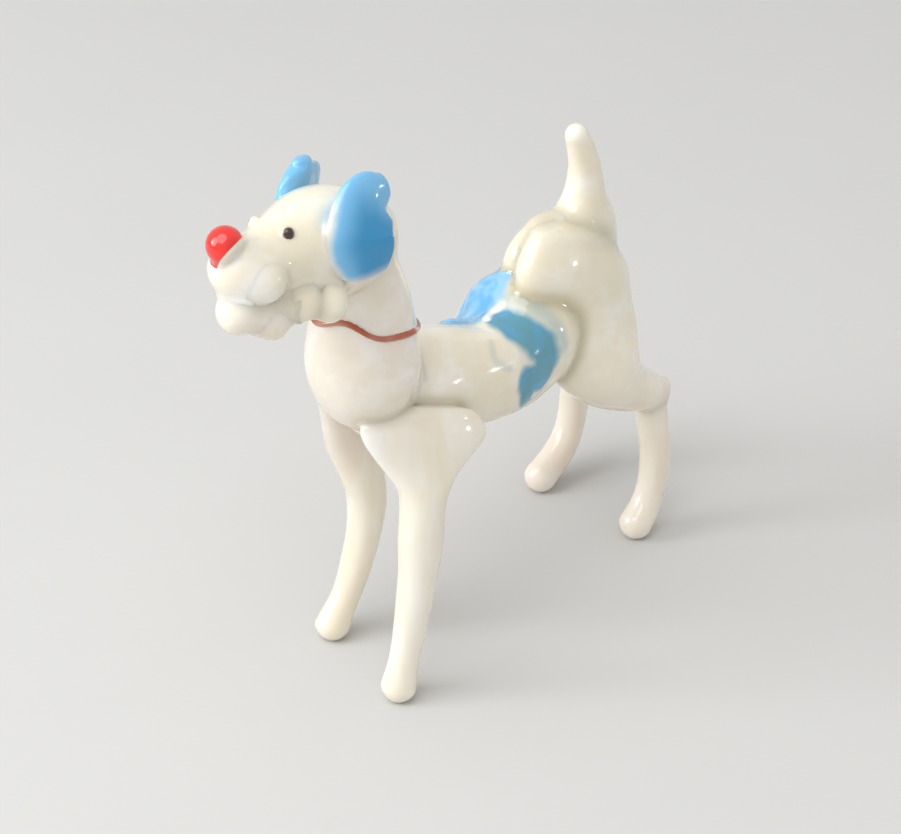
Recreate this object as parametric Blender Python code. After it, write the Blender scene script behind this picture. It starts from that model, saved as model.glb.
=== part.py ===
"""Lampworked glass terrier, built the way it is made at the torch.

Every sub-part is one gather of softened glass, pressed onto the gathers that were there before it.
The dog faces -Y, its left side is +X, and its four feet stand on the plane Z = 0. Sizes are metres.
"""

import math

import bpy
import bmesh
import numpy as np

# Seats
FUSE_GAP = 0.0003          # room between a gather and the seat it takes in an older gather
SOLE_DEPTH = 0.00012       # how much of each foot is pressed flat

# Trunk
CHEST_PLACE = -0.0085      # chest centre along Y
CHEST_HEIGHT = 0.0242
CHEST_RADIUS = 0.0043
TORSO_LENGTH = 0.0169      # from the middle of the chest to the middle of the rear dome
TORSO_RADIUS = 0.0044
TORSO_SAG = 0.0003
RUMP_HEIGHT = 0.0207
DOME_LIFT = 0.0013         # how far the rear dome is turned up

# Neck and head
NECK_HEIGHT = 0.0150       # from the chest centre up to the middle of the skull
NECK_LEAN = 0.0028         # how far the skull is carried in front of the chest
NECK_RADIUS = 0.0031
HEAD_TILT = math.radians(8)
HEAD_ROLL = math.radians(5)  # the left ear stands a little higher than the right one
SKULL_RADIUS = 0.0039
SNOUT_LENGTH = 0.0108
SNOUT_RADIUS = 0.0022
SNOUT_RISE = 0.0006
BROW_RISE = 0.0005
JAW_DROP = 0.0026
JAW_RADIUS = 0.0022
CHIN_RADIUS = 0.0017
LIP_RADIUS = 0.00148
BEARD_RADIUS = 0.00135
CHEEK_RADIUS = 0.00130
JOWL_RADIUS = 0.00135
NOSE_RADIUS = 0.00140
EYE_RADIUS = 0.00048
EAR_LENGTH = 0.0053
EAR_BREADTH = 0.0027
EAR_THICKNESS = 0.0009
EAR_TIP_RADIUS = 0.0007
EAR_TIP_PLACE = 0.0003     # in front of the middle of the skull
LEFT_EAR_TURN = math.radians(24)
RIGHT_EAR_TURN = math.radians(11)
LEFT_EAR_LEAN = 0.0028     # how far in front of the middle of the skull an ear hangs
RIGHT_EAR_LEAN = 0.0003
COLLAR_THREAD = 0.00028
COLLAR_TILT = math.radians(19)

# Front legs
SHOULDER_SPREAD = 0.0041
BLADE_LENGTH = 0.0108
BLADE_THICKNESS = 0.0015
BLADE_SET = 0.0012         # how far the blade lies behind the chest centre
BLADE_DROP = 0.0020        # and below it
BLADE_SLOPE = 17           # degrees by which the blade falls to the rear
BLADE_TURN = math.radians(20)  # how far its front end is wrapped round the chest
ELBOW_FLARE = 0.0009
ELBOW_DROP = 0.0064        # elbow below the chest centre
FOREARM_RADIUS = 0.00175
SHANK_RADIUS = 0.00125
FOOT_RADIUS = 0.00138
FRONT_FOOT_SPREAD = 0.0046
LEFT_FRONT_STEP = 0.0025   # foot in front of the chest centre
RIGHT_FRONT_STEP = -0.0002
RIGHT_LEG_BOW = 0.0028
RIGHT_LEG_TRAIL = 0.0006
RIGHT_BLADE_LIFT = 0.0014

# Hind legs and tail
HAUNCH_LENGTH = 0.0136
HAUNCH_HEIGHT = 0.0080
HAUNCH_THICKNESS = 0.0030
HAUNCH_SET = 0.0056        # haunch top behind the middle of the rear dome
RIGHT_HAUNCH_SHIFT = 0.0013
HOCK_SET = 0.0112          # hock behind the middle of the rear dome
HOCK_HEIGHT = 0.0136
HOCK_RADIUS = 0.0017
HIND_FOOT_SPREAD = 0.0052
LEFT_HIND_STEP = 0.0013    # foot in front of the hock
RIGHT_HIND_STEP = 0.0022
LEFT_ANKLE_TRAIL = 0.0010  # ankle behind the hock
RIGHT_ANKLE_TRAIL = 0.0022
TAIL_LENGTH = 0.0092
TAIL_SET = 0.0018          # tail root behind the haunch tops
TAIL_SUNK = 0.0010         # and below them
TAIL_TIP_RADIUS = 0.00095

# Saddle markings
PATCH_THICKNESS = 0.0010   # of a marking, most of it melted into the torso
PATCH_RISE = 0.00016       # how much a marking stands proud of the torso
BACK_RISE = 0.0006         # how high the patch on the back is heaped up against the haunches
BAND_WIDTH = 0.0036

# Mesh fineness
SECTION_POINTS = 18
DOME_STEPS = 3

LEFT, RIGHT = 1, -1
SIDES = (("left", LEFT), ("right", RIGHT))

GLASS = {
    "opal": ((0.86, 0.82, 0.72, 1.0), 0.12),
    "blue": ((0.045, 0.30, 0.60, 1.0), 0.10),
    "red": ((0.70, 0.012, 0.016, 1.0), 0.08),
    "brown": ((0.04, 0.022, 0.015, 1.0), 0.10),
    "thread": ((0.42, 0.085, 0.035, 1.0), 0.15),
}

X_AXIS = np.array([1.0, 0.0, 0.0])
Z_AXIS = np.array([0.0, 0.0, 1.0])
CHEST = np.array([0.0, CHEST_PLACE, CHEST_HEIGHT])
RUMP = np.array([0.0, CHEST_PLACE + TORSO_LENGTH, RUMP_HEIGHT])
SKULL = CHEST + np.array([0.0, -NECK_LEAN, NECK_HEIGHT])
SNOUT_WAY = np.array([0.0, -math.cos(HEAD_TILT), math.sin(HEAD_TILT)])
UPRIGHT = np.array([0.0, math.sin(HEAD_TILT), math.cos(HEAD_TILT)])
CROWN_WAY = math.cos(HEAD_ROLL) * UPRIGHT - math.sin(HEAD_ROLL) * X_AXIS
LEFT_WAY = math.cos(HEAD_ROLL) * X_AXIS + math.sin(HEAD_ROLL) * UPRIGHT


def unit(vectors):
    """Scale each vector to length one."""
    vectors = np.asarray(vectors, dtype=float)
    return vectors / np.linalg.norm(vectors, axis=-1, keepdims=True)


def smooth_rows(rows, count):
    """Read a Catmull-Rom curve through the rows at evenly spaced places."""
    rows = np.asarray(rows, dtype=float)
    padded = np.vstack([2 * rows[0] - rows[1], rows, 2 * rows[-1] - rows[-2]])
    place = np.linspace(0, len(rows) - 1, count)
    piece = np.minimum(place.astype(int), len(rows) - 2)
    t = (place - piece)[:, None]
    a, b, c, d = (padded[piece + k] for k in range(4))
    bend = (2 * a - 5 * b + 4 * c - d) * t**2 + (3 * b - a - 3 * c + d) * t**3
    return 0.5 * (2 * b + (c - a) * t + bend)


def oval_frames(rows, steps, across, domes, tilts):
    """Centres and half axes of oval sections along a curved spine, with a round dome at each end.

    A section lies square to the spine, or, where tilts are given, its depth rises by that many
    degrees towards the rear.
    """
    across = unit(smooth_rows(np.broadcast_to(across, (len(rows), 3)), steps))
    centres, sizes = np.split(smooth_rows(rows, steps), [3], axis=1)
    run = unit(np.gradient(centres, axis=0))
    if tilts is None:
        side = unit(across - np.sum(run * across, axis=1, keepdims=True) * run)
        depth = np.cross(run, side)
        way = run
    else:
        slope = np.radians(smooth_rows(np.array(tilts, dtype=float)[:, None], steps))
        side = across
        depth = np.cos(slope) * np.cross(Z_AXIS, across) + np.sin(slope) * Z_AXIS
        way = np.cross(side, depth)
        way *= np.sign(np.sum(way * run, axis=1, keepdims=True))
    angles = np.linspace(0, math.pi / 2, DOME_STEPS + 1)[1:]
    start = centres[0] - domes[0] * np.sin(angles[::-1])[:, None] * way[0]
    end = centres[-1] + domes[1] * np.sin(angles)[:, None] * way[-1]
    shrink = np.concatenate([np.cos(angles[::-1]), np.ones(steps), np.cos(angles)])[:, None]
    place = np.clip(np.arange(-DOME_STEPS, steps + DOME_STEPS), 0, steps - 1)
    half_side = side[place] * sizes[place, 0:1] * shrink
    half_depth = depth[place] * sizes[place, 1:2] * shrink
    return np.vstack([start, centres, end]), half_side, half_depth


def skin(centres, side, depth, points):
    """Mesh the ovals from pole to pole; the first and the last section are single points."""
    angles = np.linspace(0, 2 * math.pi, points, endpoint=False)[None, :, None]
    grid = centres[:, None] + np.cos(angles) * side[:, None] + np.sin(angles) * depth[:, None]
    mesh = bmesh.new()
    rings = [[mesh.verts.new(place) for place in ring] for ring in grid[1:-1]]
    for ring, following in zip(rings, rings[1:]):
        for k in range(points):
            after = (k + 1) % points
            mesh.faces.new((ring[k], ring[after], following[after], following[k]))
    for ring, pole in ((rings[0], centres[0]), (rings[-1], centres[-1])):
        tip = mesh.verts.new(pole)
        for k in range(points):
            mesh.faces.new((ring[k], ring[(k + 1) % points], tip))
    bmesh.ops.recalc_face_normals(mesh, faces=mesh.faces)
    return mesh


def glass_material(name, kind):
    """Principled glass colour of one sub-part."""
    colour, roughness = GLASS[kind]
    material = bpy.data.materials.new(f"{kind}_glass_{name}")
    material.use_nodes = True
    shader = material.node_tree.nodes["Principled BSDF"]
    shader.inputs["Base Color"].default_value = colour
    shader.inputs["Roughness"].default_value = roughness
    shader.inputs["Metallic"].default_value = 0.0
    return material


def add_piece(name, kind, mesh, anchor, dog):
    """Make the object of one sub-part, with its origin at the anchor."""
    bmesh.ops.translate(mesh, verts=mesh.verts, vec=tuple(-np.asarray(anchor)))
    bmesh.ops.triangulate(mesh, faces=mesh.faces)
    data = bpy.data.meshes.new(name)
    mesh.to_mesh(data)
    mesh.free()
    data.shade_smooth()
    data.materials.append(glass_material(name, kind))
    piece = bpy.data.objects.new(name, data)
    piece.location = anchor
    piece.parent = dog
    bpy.context.scene.collection.objects.link(piece)
    return piece


def gather(dog, name, kind, rows, domes, steps=12, across=X_AXIS, tilts=None, points=SECTION_POINTS,
           sole=False):
    """One gather of glass: rows of x, y, z, half width and half depth along its spine."""
    mesh = skin(*oval_frames(rows, steps, across, domes, tilts), points)
    if sole:
        press_sole(mesh)
    return add_piece(name, kind, mesh, np.asarray(rows, dtype=float)[:, :3].mean(axis=0), dog)


def press_sole(mesh):
    """Press a foot flat on the plane Z = 0."""
    everything = list(mesh.verts) + list(mesh.edges) + list(mesh.faces)
    cut = bmesh.ops.bisect_plane(mesh, geom=everything, plane_co=(0, 0, 0), plane_no=Z_AXIS, clear_inner=True)
    rim = [item for item in cut["geom_cut"] if isinstance(item, bmesh.types.BMEdge)]
    bmesh.ops.contextual_create(mesh, geom=rim)
    bmesh.ops.recalc_face_normals(mesh, faces=mesh.faces)


def bead(dog, name, kind, centre, radius, stretch=(1.0, 1.0, 1.0), points=12, rings=8):
    """A small melted dot of glass, stretched a little where it is not round."""
    mesh = bmesh.new()
    bmesh.ops.create_uvsphere(mesh, u_segments=points, v_segments=rings, radius=radius)
    bmesh.ops.scale(mesh, verts=mesh.verts, vec=stretch)
    bmesh.ops.translate(mesh, verts=mesh.verts, vec=tuple(centre))
    return add_piece(name, kind, mesh, centre, dog)


def seat_cutter(piece):
    """The piece grown by the fuse gap, which cuts the seat for it in a newer gather."""
    name = "seat_of_" + piece.name
    cutter = bpy.data.objects.get(name)
    if cutter:
        return cutter
    mesh = bmesh.new()
    mesh.from_mesh(piece.data)
    mesh.normal_update()
    for vertex, normal in [(vertex, vertex.normal.copy()) for vertex in mesh.verts]:
        vertex.co += normal * FUSE_GAP
    data = bpy.data.meshes.new(name)
    mesh.to_mesh(data)
    mesh.free()
    cutter = bpy.data.objects.new(name, data)
    cutter.location = piece.location
    cutter.parent = piece.parent
    cutter.hide_render = True
    cutter.display_type = "WIRE"
    bpy.context.scene.collection.objects.link(cutter)
    return cutter


def seat(piece, *older):
    """Let a piece take the shape of the older pieces that it is pressed onto."""
    for other in older:
        cut = piece.modifiers.new("seat_on_" + other.name, "BOOLEAN")
        cut.operation = "DIFFERENCE"
        cut.solver = "EXACT"
        cut.object = seat_cutter(other)


def torso_rows():
    """The barrel of the dog: a sagging cylinder that swells to a round dome behind."""
    shape = ((0.08, 0.74, 0.0), (0.25, 0.94, 0.0), (0.5, 0.98, 0.0), (0.8, 1.08, 0.1), (1.0, 1.14, 1.0))
    rows = []
    for along, swell, lift in shape:
        centre = CHEST + (RUMP - CHEST) * along
        centre += (DOME_LIFT * lift - TORSO_SAG * math.sin(math.pi * along)) * Z_AXIS
        rows.append((*centre, TORSO_RADIUS * swell, TORSO_RADIUS * swell))
    return rows


def make_torso(dog):
    """The first gather, which everything else is built on."""
    return gather(dog, "torso", "opal", torso_rows(), (TORSO_RADIUS * 0.5, 1.25 * TORSO_RADIUS), steps=12)


def on_torso(along, turn):
    """A place on the skin of the torso, and the way out: share of the length, turn from the top to the left."""
    rows = np.array(torso_rows())
    shares = (rows[:, 1] - CHEST[1]) / (RUMP[1] - CHEST[1])
    centre = np.array([np.interp(along, shares, rows[:, k]) for k in range(3)])
    radius = np.interp(along, shares, rows[:, 3])
    out = math.cos(turn) * np.cross(X_AXIS, unit(RUMP - CHEST)) + math.sin(turn) * X_AXIS
    return centre + out * radius, out


def make_patch(dog, name, shape):
    """A blue dab melted into the torso: share of the length, turn, half width and rise of its middle line."""
    places, ways_out = zip(*(on_torso(along, math.radians(turn)) for along, turn, _, _ in shape))
    rows = []
    for place, out, (_, _, wide, rise) in zip(places, ways_out, shape):
        thick = max(0.5 * PATCH_THICKNESS, rise)
        rows.append((*(place + (rise - thick) * out), wide, thick))
    run = unit(np.gradient(np.array(places), axis=0))
    domes = (shape[0][2], shape[-1][2])
    return gather(dog, name, "blue", rows, domes, steps=9, across=np.cross(run, ways_out), points=12)


def make_saddle(dog):
    """Blue markings: a patch heaped on the back and a hooked band down the left side."""
    wide, rise = BAND_WIDTH / 2, PATCH_RISE
    back = ((0.58, -16, 0.42 * wide, rise), (0.66, -16, 0.66 * wide, rise),
            (0.75, -16, 0.84 * wide, rise), (0.86, -20, wide, BACK_RISE))
    hook = ((0.75, 21, 0.85 * wide, rise), (0.80, 37, wide, rise), (0.83, 53, 1.08 * wide, rise),
            (0.84, 70, 1.12 * wide, rise), (0.85, 84, 1.05 * wide, rise), (0.82, 98, 0.80 * wide, rise),
            (0.78, 111, 0.52 * wide, rise), (0.75, 124, 0.30 * wide, rise))
    return [make_patch(dog, "saddle_back", back), make_patch(dog, "saddle_left", hook)]


def neck_rows():
    """Chest and neck: share of the height, shift along Y in chest radii, and radius."""
    chest, top = CHEST_RADIUS, NECK_RADIUS
    shape = ((-0.02, 0.07, 0.66 * chest), (0.10, -0.09, 0.90 * chest), (0.23, -0.16, chest),
             (0.34, -0.14, 0.98 * chest), (0.48, -0.05, 0.92 * chest), (0.67, 0.0, 0.46 * chest + 0.50 * top),
             (0.90, 0.0, top))
    rows = []
    for up, shift, radius in shape:
        centre = CHEST + (SKULL - CHEST) * np.array([0.0, up**2, up])
        rows.append((0.0, centre[1] + shift * chest, centre[2], radius, radius))
    return rows


def make_neck(dog):
    """Chest and neck in one upright gather that narrows towards the skull."""
    domes = (0.60 * CHEST_RADIUS, 0.5 * NECK_RADIUS)
    return gather(dog, "chest_and_neck", "opal", neck_rows(), domes, steps=13)


def head_point(along, up, side=0.0):
    """A place given along the snout, towards the crown and towards the dog's left."""
    return SKULL + along * SNOUT_WAY + up * CROWN_WAY + side * LEFT_WAY


def head_rows():
    """Skull and tapering snout: share of the snout length, and how much of the skull is left in the taper."""
    rows = []
    shape = ((-0.16, 0.55), (0.0, 0.92), (0.22, 1.04), (0.42, 0.82), (0.62, 0.42), (0.84, 0.10), (1.0, 0.0))
    for share, fullness in shape:
        radius = SNOUT_RADIUS + (SKULL_RADIUS - SNOUT_RADIUS) * fullness
        rows.append((*head_point(share * SNOUT_LENGTH, head_rise(share)), radius, radius))
    return rows


def head_rise(share):
    """How far the middle line of the head lies above the straight snout line."""
    return SNOUT_RISE * share * abs(share) + BROW_RISE * math.sin(math.pi * min(max(1.25 * share, 0.0), 1.0))


def make_head(dog):
    """The skull, drawn out into the snout."""
    return gather(dog, "head", "opal", head_rows(), (0.65 * SKULL_RADIUS, SNOUT_RADIUS), steps=12)


def on_head(share, angle, radius, sunk):
    """Centre of a bead on the head: share of the snout, turn down from the crown, how deep it has sunk."""
    shares = [(np.dot(np.array(row[:3]) - SKULL, SNOUT_WAY)) / SNOUT_LENGTH for row in head_rows()]
    local = np.interp(share, shares, [row[3] for row in head_rows()])
    reach = local + radius - sunk
    return head_point(share * SNOUT_LENGTH, head_rise(share) + reach * math.cos(angle), reach * math.sin(angle))


def jaw_point(share):
    """A place on the middle line of the jaw, under the snout."""
    return head_point(share * SNOUT_LENGTH, -JAW_DROP * math.sin(0.5 * math.pi * min(share * 1.15, 1.0)))


def make_jaw(dog):
    """The beard's core, from the throat to the chin."""
    rows = []
    for share, chin in ((0.28, 0.0), (0.55, 0.2), (0.80, 0.7), (1.0, 1.0)):
        radius = JAW_RADIUS + (CHIN_RADIUS - JAW_RADIUS) * chin
        rows.append((*jaw_point(share), radius, radius))
    return gather(dog, "jaw_and_chin", "opal", rows, (JAW_RADIUS, CHIN_RADIUS), steps=6, points=16)


def make_muzzle(dog):
    """Dabs of glass round the snout: two lips, two beard tufts, two cheek tufts and two jowls."""
    dabs = {}
    for side, sign in SIDES:
        lip = on_head(0.93, sign * math.radians(116), LIP_RADIUS, 1.36 * LIP_RADIUS)
        beard = jaw_point(0.80) + np.array([sign * 0.74, 0.0, -0.81]) * BEARD_RADIUS
        cheek = on_head(0.60, sign * math.radians(150), CHEEK_RADIUS, 0.35 * CHEEK_RADIUS)
        jowl = on_head(0.42, sign * math.radians(143), JOWL_RADIUS, 0.25 * JOWL_RADIUS)
        for name, centre, radius in (("lip_", lip, LIP_RADIUS), ("beard_", beard, BEARD_RADIUS),
                                     ("cheek_", cheek, CHEEK_RADIUS), ("jowl_", jowl, JOWL_RADIUS)):
            dabs[name + side] = bead(dog, name + side, "opal", centre, radius)
    return dabs


def make_nose(dog):
    """A red drop on the end of the snout, a little pointed below."""
    centre = head_point(SNOUT_LENGTH + NOSE_RADIUS, SNOUT_RISE + 1.45 * NOSE_RADIUS)
    return bead(dog, "nose", "red", centre, NOSE_RADIUS, stretch=(0.95, 0.95, 1.05), points=16, rings=10)


def make_eyes(dog):
    """Two dark dots, half sunk beside the bridge of the snout."""
    eyes = []
    for side, sign in SIDES:
        centre = on_head(0.68, sign * math.radians(40), EYE_RADIUS, 1.1 * EYE_RADIUS)
        eyes.append(bead(dog, "eye_" + side, "brown", centre, EYE_RADIUS, points=8, rings=6))
    return eyes


def make_ear(dog, side, sign, lean, turn):
    """A blue flap laid down the side of the skull and drawn up to a round tip."""
    reach = 1.05 * SKULL_RADIUS
    shape = ((0.88, 0.00, 1.06, 0.74, 0.9), (0.97, 0.25, 1.06, 0.98, 1.0), (1.00, 0.50, 1.03, 1.0, 1.0),
             (0.65, 0.74, 0.96, 0.90, 0.95), (0.24, 0.90, 0.91, 0.66, 0.85))
    tip = EAR_TIP_RADIUS
    rows = []
    for forward, up, out, broad, thick in shape:
        along = EAR_TIP_PLACE + forward * (lean - EAR_TIP_PLACE)
        centre = head_point(along, EAR_LENGTH * (up - 0.11), sign * reach * out)
        rows.append((*centre, EAR_THICKNESS * thick, EAR_BREADTH * broad))
    rows.append((*head_point(EAR_TIP_PLACE, EAR_LENGTH * 0.89, sign * reach * 0.90), tip, 1.5 * tip))
    turned = math.cos(turn) * LEFT_WAY + sign * math.sin(turn) * SNOUT_WAY
    return gather(dog, "ear_" + side, "blue", rows, (EAR_THICKNESS, tip), steps=9, across=turned, points=14)


def make_collar(dog):
    """A red-brown thread of glass wound once round the neck."""
    rows = smooth_rows(neck_rows(), 25)
    height = CHEST_HEIGHT + 0.50 * NECK_HEIGHT
    middle = np.array([0.0, np.interp(height, rows[:, 2], rows[:, 1]), height])
    radius = np.interp(height, rows[:, 2], rows[:, 3])
    up = np.array([0.0, math.sin(COLLAR_TILT), math.cos(COLLAR_TILT)])
    turns = 26
    sides = 6
    mesh = bmesh.new()
    rings = []
    for turn in np.linspace(0, 2 * math.pi, turns, endpoint=False):
        out = math.sin(turn) * X_AXIS + math.cos(turn) * np.cross(up, X_AXIS)
        ring = []
        for around in np.linspace(0, 2 * math.pi, sides, endpoint=False):
            reach = radius + COLLAR_THREAD * math.cos(around)
            ring.append(mesh.verts.new(middle + out * reach + up * COLLAR_THREAD * math.sin(around)))
        rings.append(ring)
    for k, ring in enumerate(rings):
        following = rings[(k + 1) % turns]
        for j in range(sides):
            after = (j + 1) % sides
            mesh.faces.new((ring[j], ring[after], following[after], following[j]))
    bmesh.ops.recalc_face_normals(mesh, faces=mesh.faces)
    return add_piece("collar", "thread", mesh, middle, dog)


def rod_tilts(rows):
    """Degrees by which sections square to a falling rod rise to the rear."""
    run = np.gradient(np.array(rows)[:, :3], axis=0)
    return np.degrees(np.arctan2(run[:, 1], -run[:, 2]))


def make_front_leg(dog, side, sign, step, bow, trail, lift):
    """A leg drawn from one gather: a flat blade on the chest, the forearm, and a round foot."""
    half = BLADE_LENGTH / 2
    blade = CHEST + np.array([SHOULDER_SPREAD, BLADE_SET + trail, lift - BLADE_DROP])
    elbow = CHEST + np.array([SHOULDER_SPREAD + ELBOW_FLARE - 0.2 * bow, trail + 0.55 * bow, -ELBOW_DROP])
    foot = np.array([FRONT_FOOT_SPREAD, CHEST_PLACE - step, FOOT_RADIUS - SOLE_DEPTH])
    rows = [(*(blade + np.array([-0.04, 0.09, 0.24]) * half), 0.75 * BLADE_THICKNESS, 0.88 * half),
            (*blade, BLADE_THICKNESS, 1.02 * half),
            (*(blade + (elbow - blade) * 0.48), 1.1 * BLADE_THICKNESS, 0.68 * half),
            (*elbow, FOREARM_RADIUS, 1.1 * FOREARM_RADIUS)]
    for down, radius in ((0.2, FOREARM_RADIUS), (0.45, 0.55 * FOREARM_RADIUS + 0.45 * SHANK_RADIUS),
                         (0.77, SHANK_RADIUS), (0.92, SHANK_RADIUS)):
        centre = elbow + (foot - elbow) * np.array([down, down**2, down])
        centre += np.array([-0.15, 0.75, 0.0]) * bow * math.sin(math.pi * down)
        rows.append((*centre, radius, radius))
    rows.append((*foot, FOOT_RADIUS, FOOT_RADIUS))
    rows = np.array(rows) * np.array([sign, 1.0, 1.0, 1.0, 1.0])
    turned = np.array([math.cos(BLADE_TURN), -sign * math.sin(BLADE_TURN), 0.0])
    tilts = [-BLADE_SLOPE, -BLADE_SLOPE, -0.7 * BLADE_SLOPE] + list(rod_tilts(rows)[3:])
    return gather(dog, "front_leg_" + side, "opal", rows, (0.5 * BLADE_THICKNESS, FOOT_RADIUS),
                  steps=18, across=turned, tilts=tilts, points=16, sole=True)


def hock_place(shift):
    """The middle of the left hock, or with the right haunch's shift, of the right one before mirroring."""
    return np.array([HIND_FOOT_SPREAD - 0.25 * HOCK_RADIUS, RUMP[1] + HOCK_SET + shift, HOCK_HEIGHT])


def make_haunch(dog, side, sign, shift):
    """A haunch: thick and flat against its twin at the top, spread towards the hock, ending in a small nib."""
    half, thick, high = HAUNCH_LENGTH / 2, HAUNCH_THICKNESS, HAUNCH_HEIGHT
    top = RUMP + np.array([0.33 * thick, HAUNCH_SET + shift, 0.95 * high])
    hock = hock_place(shift)
    rows = [(*top, 0.70 * thick, 0.74 * half),
            (*(top + np.array([0.13 * thick, -0.03 * high, -0.26 * high])), 0.85 * thick, 0.96 * half),
            (*(top + np.array([0.26 * thick, -0.01 * high, -0.64 * high])), 0.87 * thick, 0.95 * half),
            (*(top + np.array([0.52 * thick, 0.03 * high, -high])), 0.92 * thick, 0.80 * half),
            (*(hock + np.array([-0.70, -2.60, 2.25]) * HOCK_RADIUS), 0.9 * thick, 0.54 * half),
            (*(hock + np.array([-0.35, -1.55, 0.88]) * HOCK_RADIUS), 0.75 * thick, 0.34 * half),
            (*hock, HOCK_RADIUS, HOCK_RADIUS),
            (*(hock + np.array([0.06, 1.04, -0.34]) * HOCK_RADIUS), 0.55 * HOCK_RADIUS, 0.5 * HOCK_RADIUS)]
    rows = np.array(rows) * np.array([sign, 1.0, 1.0, 1.0, 1.0])
    tilts = (-22, -16, -10, 0, 25, 52, 78, 92)
    return gather(dog, "haunch_" + side, "opal", rows, (0.5 * thick, 0.5 * HOCK_RADIUS), steps=16, tilts=tilts)


def make_hind_leg(dog, side, sign, step, shift, trail):
    """A rod under the hock that bends forward into a round foot."""
    hock = hock_place(shift)
    ankle_place = hock[1] + trail
    foot_place = hock[1] - step
    reach = ankle_place - foot_place
    top = np.array([hock[0], ankle_place - 0.3 * SHANK_RADIUS, HOCK_HEIGHT - 0.5 * HOCK_RADIUS])
    ankle = np.array([HIND_FOOT_SPREAD, ankle_place, 0.5 * HOCK_HEIGHT])
    foot = np.array([HIND_FOOT_SPREAD, foot_place, FOOT_RADIUS - SOLE_DEPTH])
    heel = foot + np.array([0.0, 0.33 * reach, 0.5 * SHANK_RADIUS])
    bend = foot + np.array([0.0, 0.78 * reach, 1.84 * SHANK_RADIUS])
    rows = []
    for centre, radius in ((top, 1.1 * SHANK_RADIUS), (0.5 * (top + ankle), 1.05 * SHANK_RADIUS),
                           (ankle, SHANK_RADIUS), (bend, SHANK_RADIUS), (heel, 1.05 * SHANK_RADIUS),
                           (foot, FOOT_RADIUS)):
        rows.append((centre[0] * sign, centre[1], centre[2], radius, radius))
    return gather(dog, "hind_leg_" + side, "opal", rows, (SHANK_RADIUS, FOOT_RADIUS), steps=12, points=14,
                  sole=True)


def make_tail(dog):
    """A spike drawn upward from a skirt that straddles both haunches."""
    root = RUMP + np.array([0.0, HAUNCH_SET + TAIL_SET, 0.95 * HAUNCH_HEIGHT - TAIL_SUNK])
    tip = TAIL_TIP_RADIUS
    shape = ((0.00, 0.00, 2.4, 5.9), (0.08, 0.15, 2.2, 4.4), (0.12, 0.32, 1.8, 2.6), (0.13, 0.50, 1.5, 1.75),
             (0.10, 0.74, 1.25, 1.35), (0.00, 1.00, 1.0, 1.0))
    rows = [(0.0, root[1] + back * TAIL_LENGTH, root[2] + up * TAIL_LENGTH, wide * tip, deep * tip)
            for back, up, wide, deep in shape]
    return gather(dog, "tail", "opal", rows, (0.8 * tip, tip), steps=11, points=16)


def main():
    """Clear the scene and build the dog, oldest gather first."""
    for thing in list(bpy.data.objects):
        bpy.data.objects.remove(thing, do_unlink=True)
    dog = bpy.data.objects.new("glass_dog", None)
    bpy.context.scene.collection.objects.link(dog)
    torso = make_torso(dog)
    saddle = make_saddle(dog)
    neck = make_neck(dog)
    collar = make_collar(dog)
    head = make_head(dog)
    jaw = make_jaw(dog)
    dabs = make_muzzle(dog)
    nose = make_nose(dog)
    eyes = make_eyes(dog)
    ears = [make_ear(dog, "left", LEFT, LEFT_EAR_LEAN, LEFT_EAR_TURN),
            make_ear(dog, "right", RIGHT, RIGHT_EAR_LEAN, RIGHT_EAR_TURN)]
    front_legs = [make_front_leg(dog, "left", LEFT, LEFT_FRONT_STEP, 0.0, 0.0, 0.0),
                  make_front_leg(dog, "right", RIGHT, RIGHT_FRONT_STEP, RIGHT_LEG_BOW, RIGHT_LEG_TRAIL,
                                 RIGHT_BLADE_LIFT)]
    haunches = [make_haunch(dog, "left", LEFT, 0.0), make_haunch(dog, "right", RIGHT, RIGHT_HAUNCH_SHIFT)]
    hind_legs = [make_hind_leg(dog, "left", LEFT, LEFT_HIND_STEP, 0.0, LEFT_ANKLE_TRAIL),
                 make_hind_leg(dog, "right", RIGHT, RIGHT_HIND_STEP, RIGHT_HAUNCH_SHIFT, RIGHT_ANKLE_TRAIL)]
    tail = make_tail(dog)

    seat(torso, *saddle)
    seat(neck, torso, collar)
    seat(head, neck, *eyes)
    seat(jaw, head, neck, collar)
    seat(nose, head)
    for side, _ in SIDES:
        seat(dabs["lip_" + side], head, jaw, nose)
        seat(dabs["cheek_" + side], head, jaw, dabs["lip_" + side])
        seat(dabs["jowl_" + side], head, jaw, neck, collar, dabs["cheek_" + side])
        seat(dabs["beard_" + side], jaw, head, neck, dabs["cheek_" + side], dabs["lip_" + side],
             dabs["jowl_" + side])
    seat(dabs["beard_right"], dabs["beard_left"])
    for ear, (side, _) in zip(ears, SIDES):
        seat(ear, head, neck, dabs["jowl_" + side], dabs["cheek_" + side])
    for leg in front_legs:
        seat(leg, torso, neck)
    seat(haunches[0], torso, *saddle)
    seat(haunches[1], torso, haunches[0], *saddle)
    for leg, haunch in zip(hind_legs, haunches):
        seat(leg, haunch)
    seat(tail, torso, *haunches)


if __name__ == "__main__":
    main()
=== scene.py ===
"""The looks of a lampworked glass terrier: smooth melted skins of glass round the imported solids.

The dog faces -Y, its left side is +X, and its feet stand on the plane Z = 0. Sizes are metres.
"""

import math

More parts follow.
